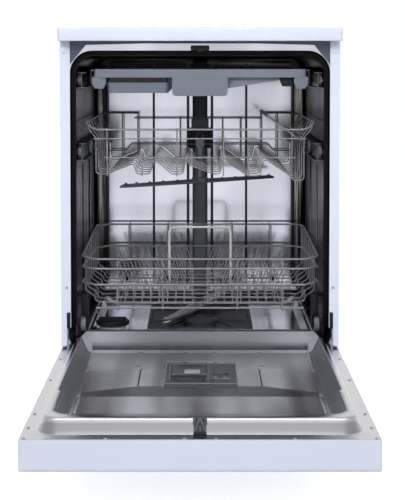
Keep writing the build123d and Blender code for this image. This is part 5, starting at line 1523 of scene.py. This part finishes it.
def stage_floor(reach, z):
    """A square of floor, out to a reach on each side, in metres."""
    mesh = bpy.data.meshes.new("floor")
    corners = [(-reach, -reach, z), (reach, -reach, z), (reach, reach, z), (-reach, reach, z)]
    mesh.from_pydata(corners, [], [(0, 1, 2, 3)])
    mesh.materials.append(stage_material())
    add("floor", mesh)


def lamp(name, place, aim, size, power, spread=160.0, mirrored=True):
    """A soft light that looks from its place to its aim, in metres, watts and degrees."""
    data = bpy.data.lights.new(name, "AREA")
    data.shape = "RECTANGLE"
    data.size, data.size_y = size
    data.energy = power
    data.spread = radians(spread)
    light = add(name, data)
    light.location = place
    light.rotation_euler = (Vector(aim) - Vector(place)).to_track_quat("-Z", "Y").to_euler()
    light.visible_glossy = mirrored


def world_light(strength):
    """Even soft light; the camera and the reflections see a white room with a greyer ceiling."""
    s = Shades(bpy.data.worlds.new("studio"))
    around = s.value("ShaderNodeTexCoord", output="Generated")
    ceiling = s.value("ShaderNodeSeparateXYZ", {0: around}, output=2).step(0.25, 0.75)
    mirrored = s.ray("Glossy") * (1.0 - 0.42 * ceiling)
    seen = mirrored.most(s.ray("Camera")).most(s.ray("Transmission"))
    room = s.node("ShaderNodeBackground", {"Color": (1.0, 1.0, 1.0, 1.0), "Strength": seen.most(strength)})
    bpy.context.scene.world = s.end(room, "ShaderNodeOutputWorld")


# The photograph's camera, in metres, radians and millimetres of lens
CAMERA_PLACE = (0.0, -2.5753, 0.7796)
CAMERA_TILT = 0.044
CAMERA_LENS = 88.73
CAMERA_SHIFT = (0.005, -0.274)


class DISHWASHER_OT_stage(bpy.types.Operator):
    """Camera, soft lights and pale floor"""

    bl_idname = "dishwasher.stage"
    bl_label = "Stage"

    def execute(self, context):
        data = bpy.data.cameras.new("camera")
        data.sensor_width = 36.0
        data.sensor_fit = "AUTO"
        data.lens = CAMERA_LENS
        data.shift_x, data.shift_y = CAMERA_SHIFT
        data.clip_end = 50.0
        camera = add("camera", data)
        camera.location = CAMERA_PLACE
        camera.rotation_euler = (pi / 2 - CAMERA_TILT, 0.0, 0.0)
        context.scene.camera = camera
        context.scene.view_settings.view_transform = "Standard"
        stage_floor(reach=12.0, z=-0.0005)
        world_light(0.34)
        lamp("key", (-1.6, -3.4, 2.7), (0.0, 0.1, 0.6), (1.8, 1.4), 11.0, 70.0, mirrored=False)
        lamp("fill", (1.9, -3.2, 2.2), (0.0, 0.1, 0.6), (1.8, 1.4), 7.5, 70.0, mirrored=False)
        lamp("inside", (0.0, -3.0, 1.9), (0.0, 0.5, 0.3), (0.9, 0.6), 0.7, 24.0, mirrored=False)
        lamp("overhead", (0.0, -0.7, 2.6), (0.0, -0.45, 0.0), (1.5, 0.9), 3.4)
        lamp("edge", (0.0, 0.05, 1.75), (0.0, -0.53, 0.17), (1.5, 0.12), 1.2)
        return {"FINISHED"}


class DISHWASHER_PT_panel(bpy.types.Panel):
    """Lists the pieces that can be made"""

    bl_idname = "DISHWASHER_PT_panel"
    bl_label = "Dishwasher"
    bl_space_type = "VIEW_3D"
    bl_region_type = "UI"
    bl_category = "Dishwasher"

    def draw(self, context):
        for group in (context.scene.dishwasher_sizes, context.scene.dishwasher_colours):
            for name in group.__annotations__:
                self.layout.prop(group, name)
        for operator in OPERATORS:
            self.layout.operator(operator.bl_idname)


OPERATORS = [
    DISHWASHER_OT_stage,
    DISHWASHER_OT_finishes,
    DISHWASHER_OT_soft_edges,
    DISHWASHER_OT_door_liner,
    DISHWASHER_OT_seal,
    DISHWASHER_OT_tub_beads,
    DISHWASHER_OT_lower_basket,
    DISHWASHER_OT_upper_basket,
    DISHWASHER_OT_spray_arms,
    DISHWASHER_OT_wheels,
    DISHWASHER_OT_tray,
    DISHWASHER_OT_trims,
    DISHWASHER_OT_dispenser,
    DISHWASHER_OT_screws,
]
CLASSES = [FinishSizes, FinishColours, *OPERATORS, DISHWASHER_PT_panel]


def register():
    for cls in CLASSES:
        bpy.utils.register_class(cls)
    bpy.types.Scene.dishwasher_sizes = bpy.props.PointerProperty(type=FinishSizes)
    bpy.types.Scene.dishwasher_colours = bpy.props.PointerProperty(type=FinishColours)


def unregister():
    del bpy.types.Scene.dishwasher_colours
    del bpy.types.Scene.dishwasher_sizes
    for cls in reversed(CLASSES):
        bpy.utils.unregister_class(cls)


def plain(box):
    return [[float(c) for c in corner] for corner in box]


def main():
    register()
    for operator in OPERATORS:
        group, name = operator.bl_idname.split(".")
        getattr(getattr(bpy.ops, group), name)()


if __name__ == "__main__":
    main()
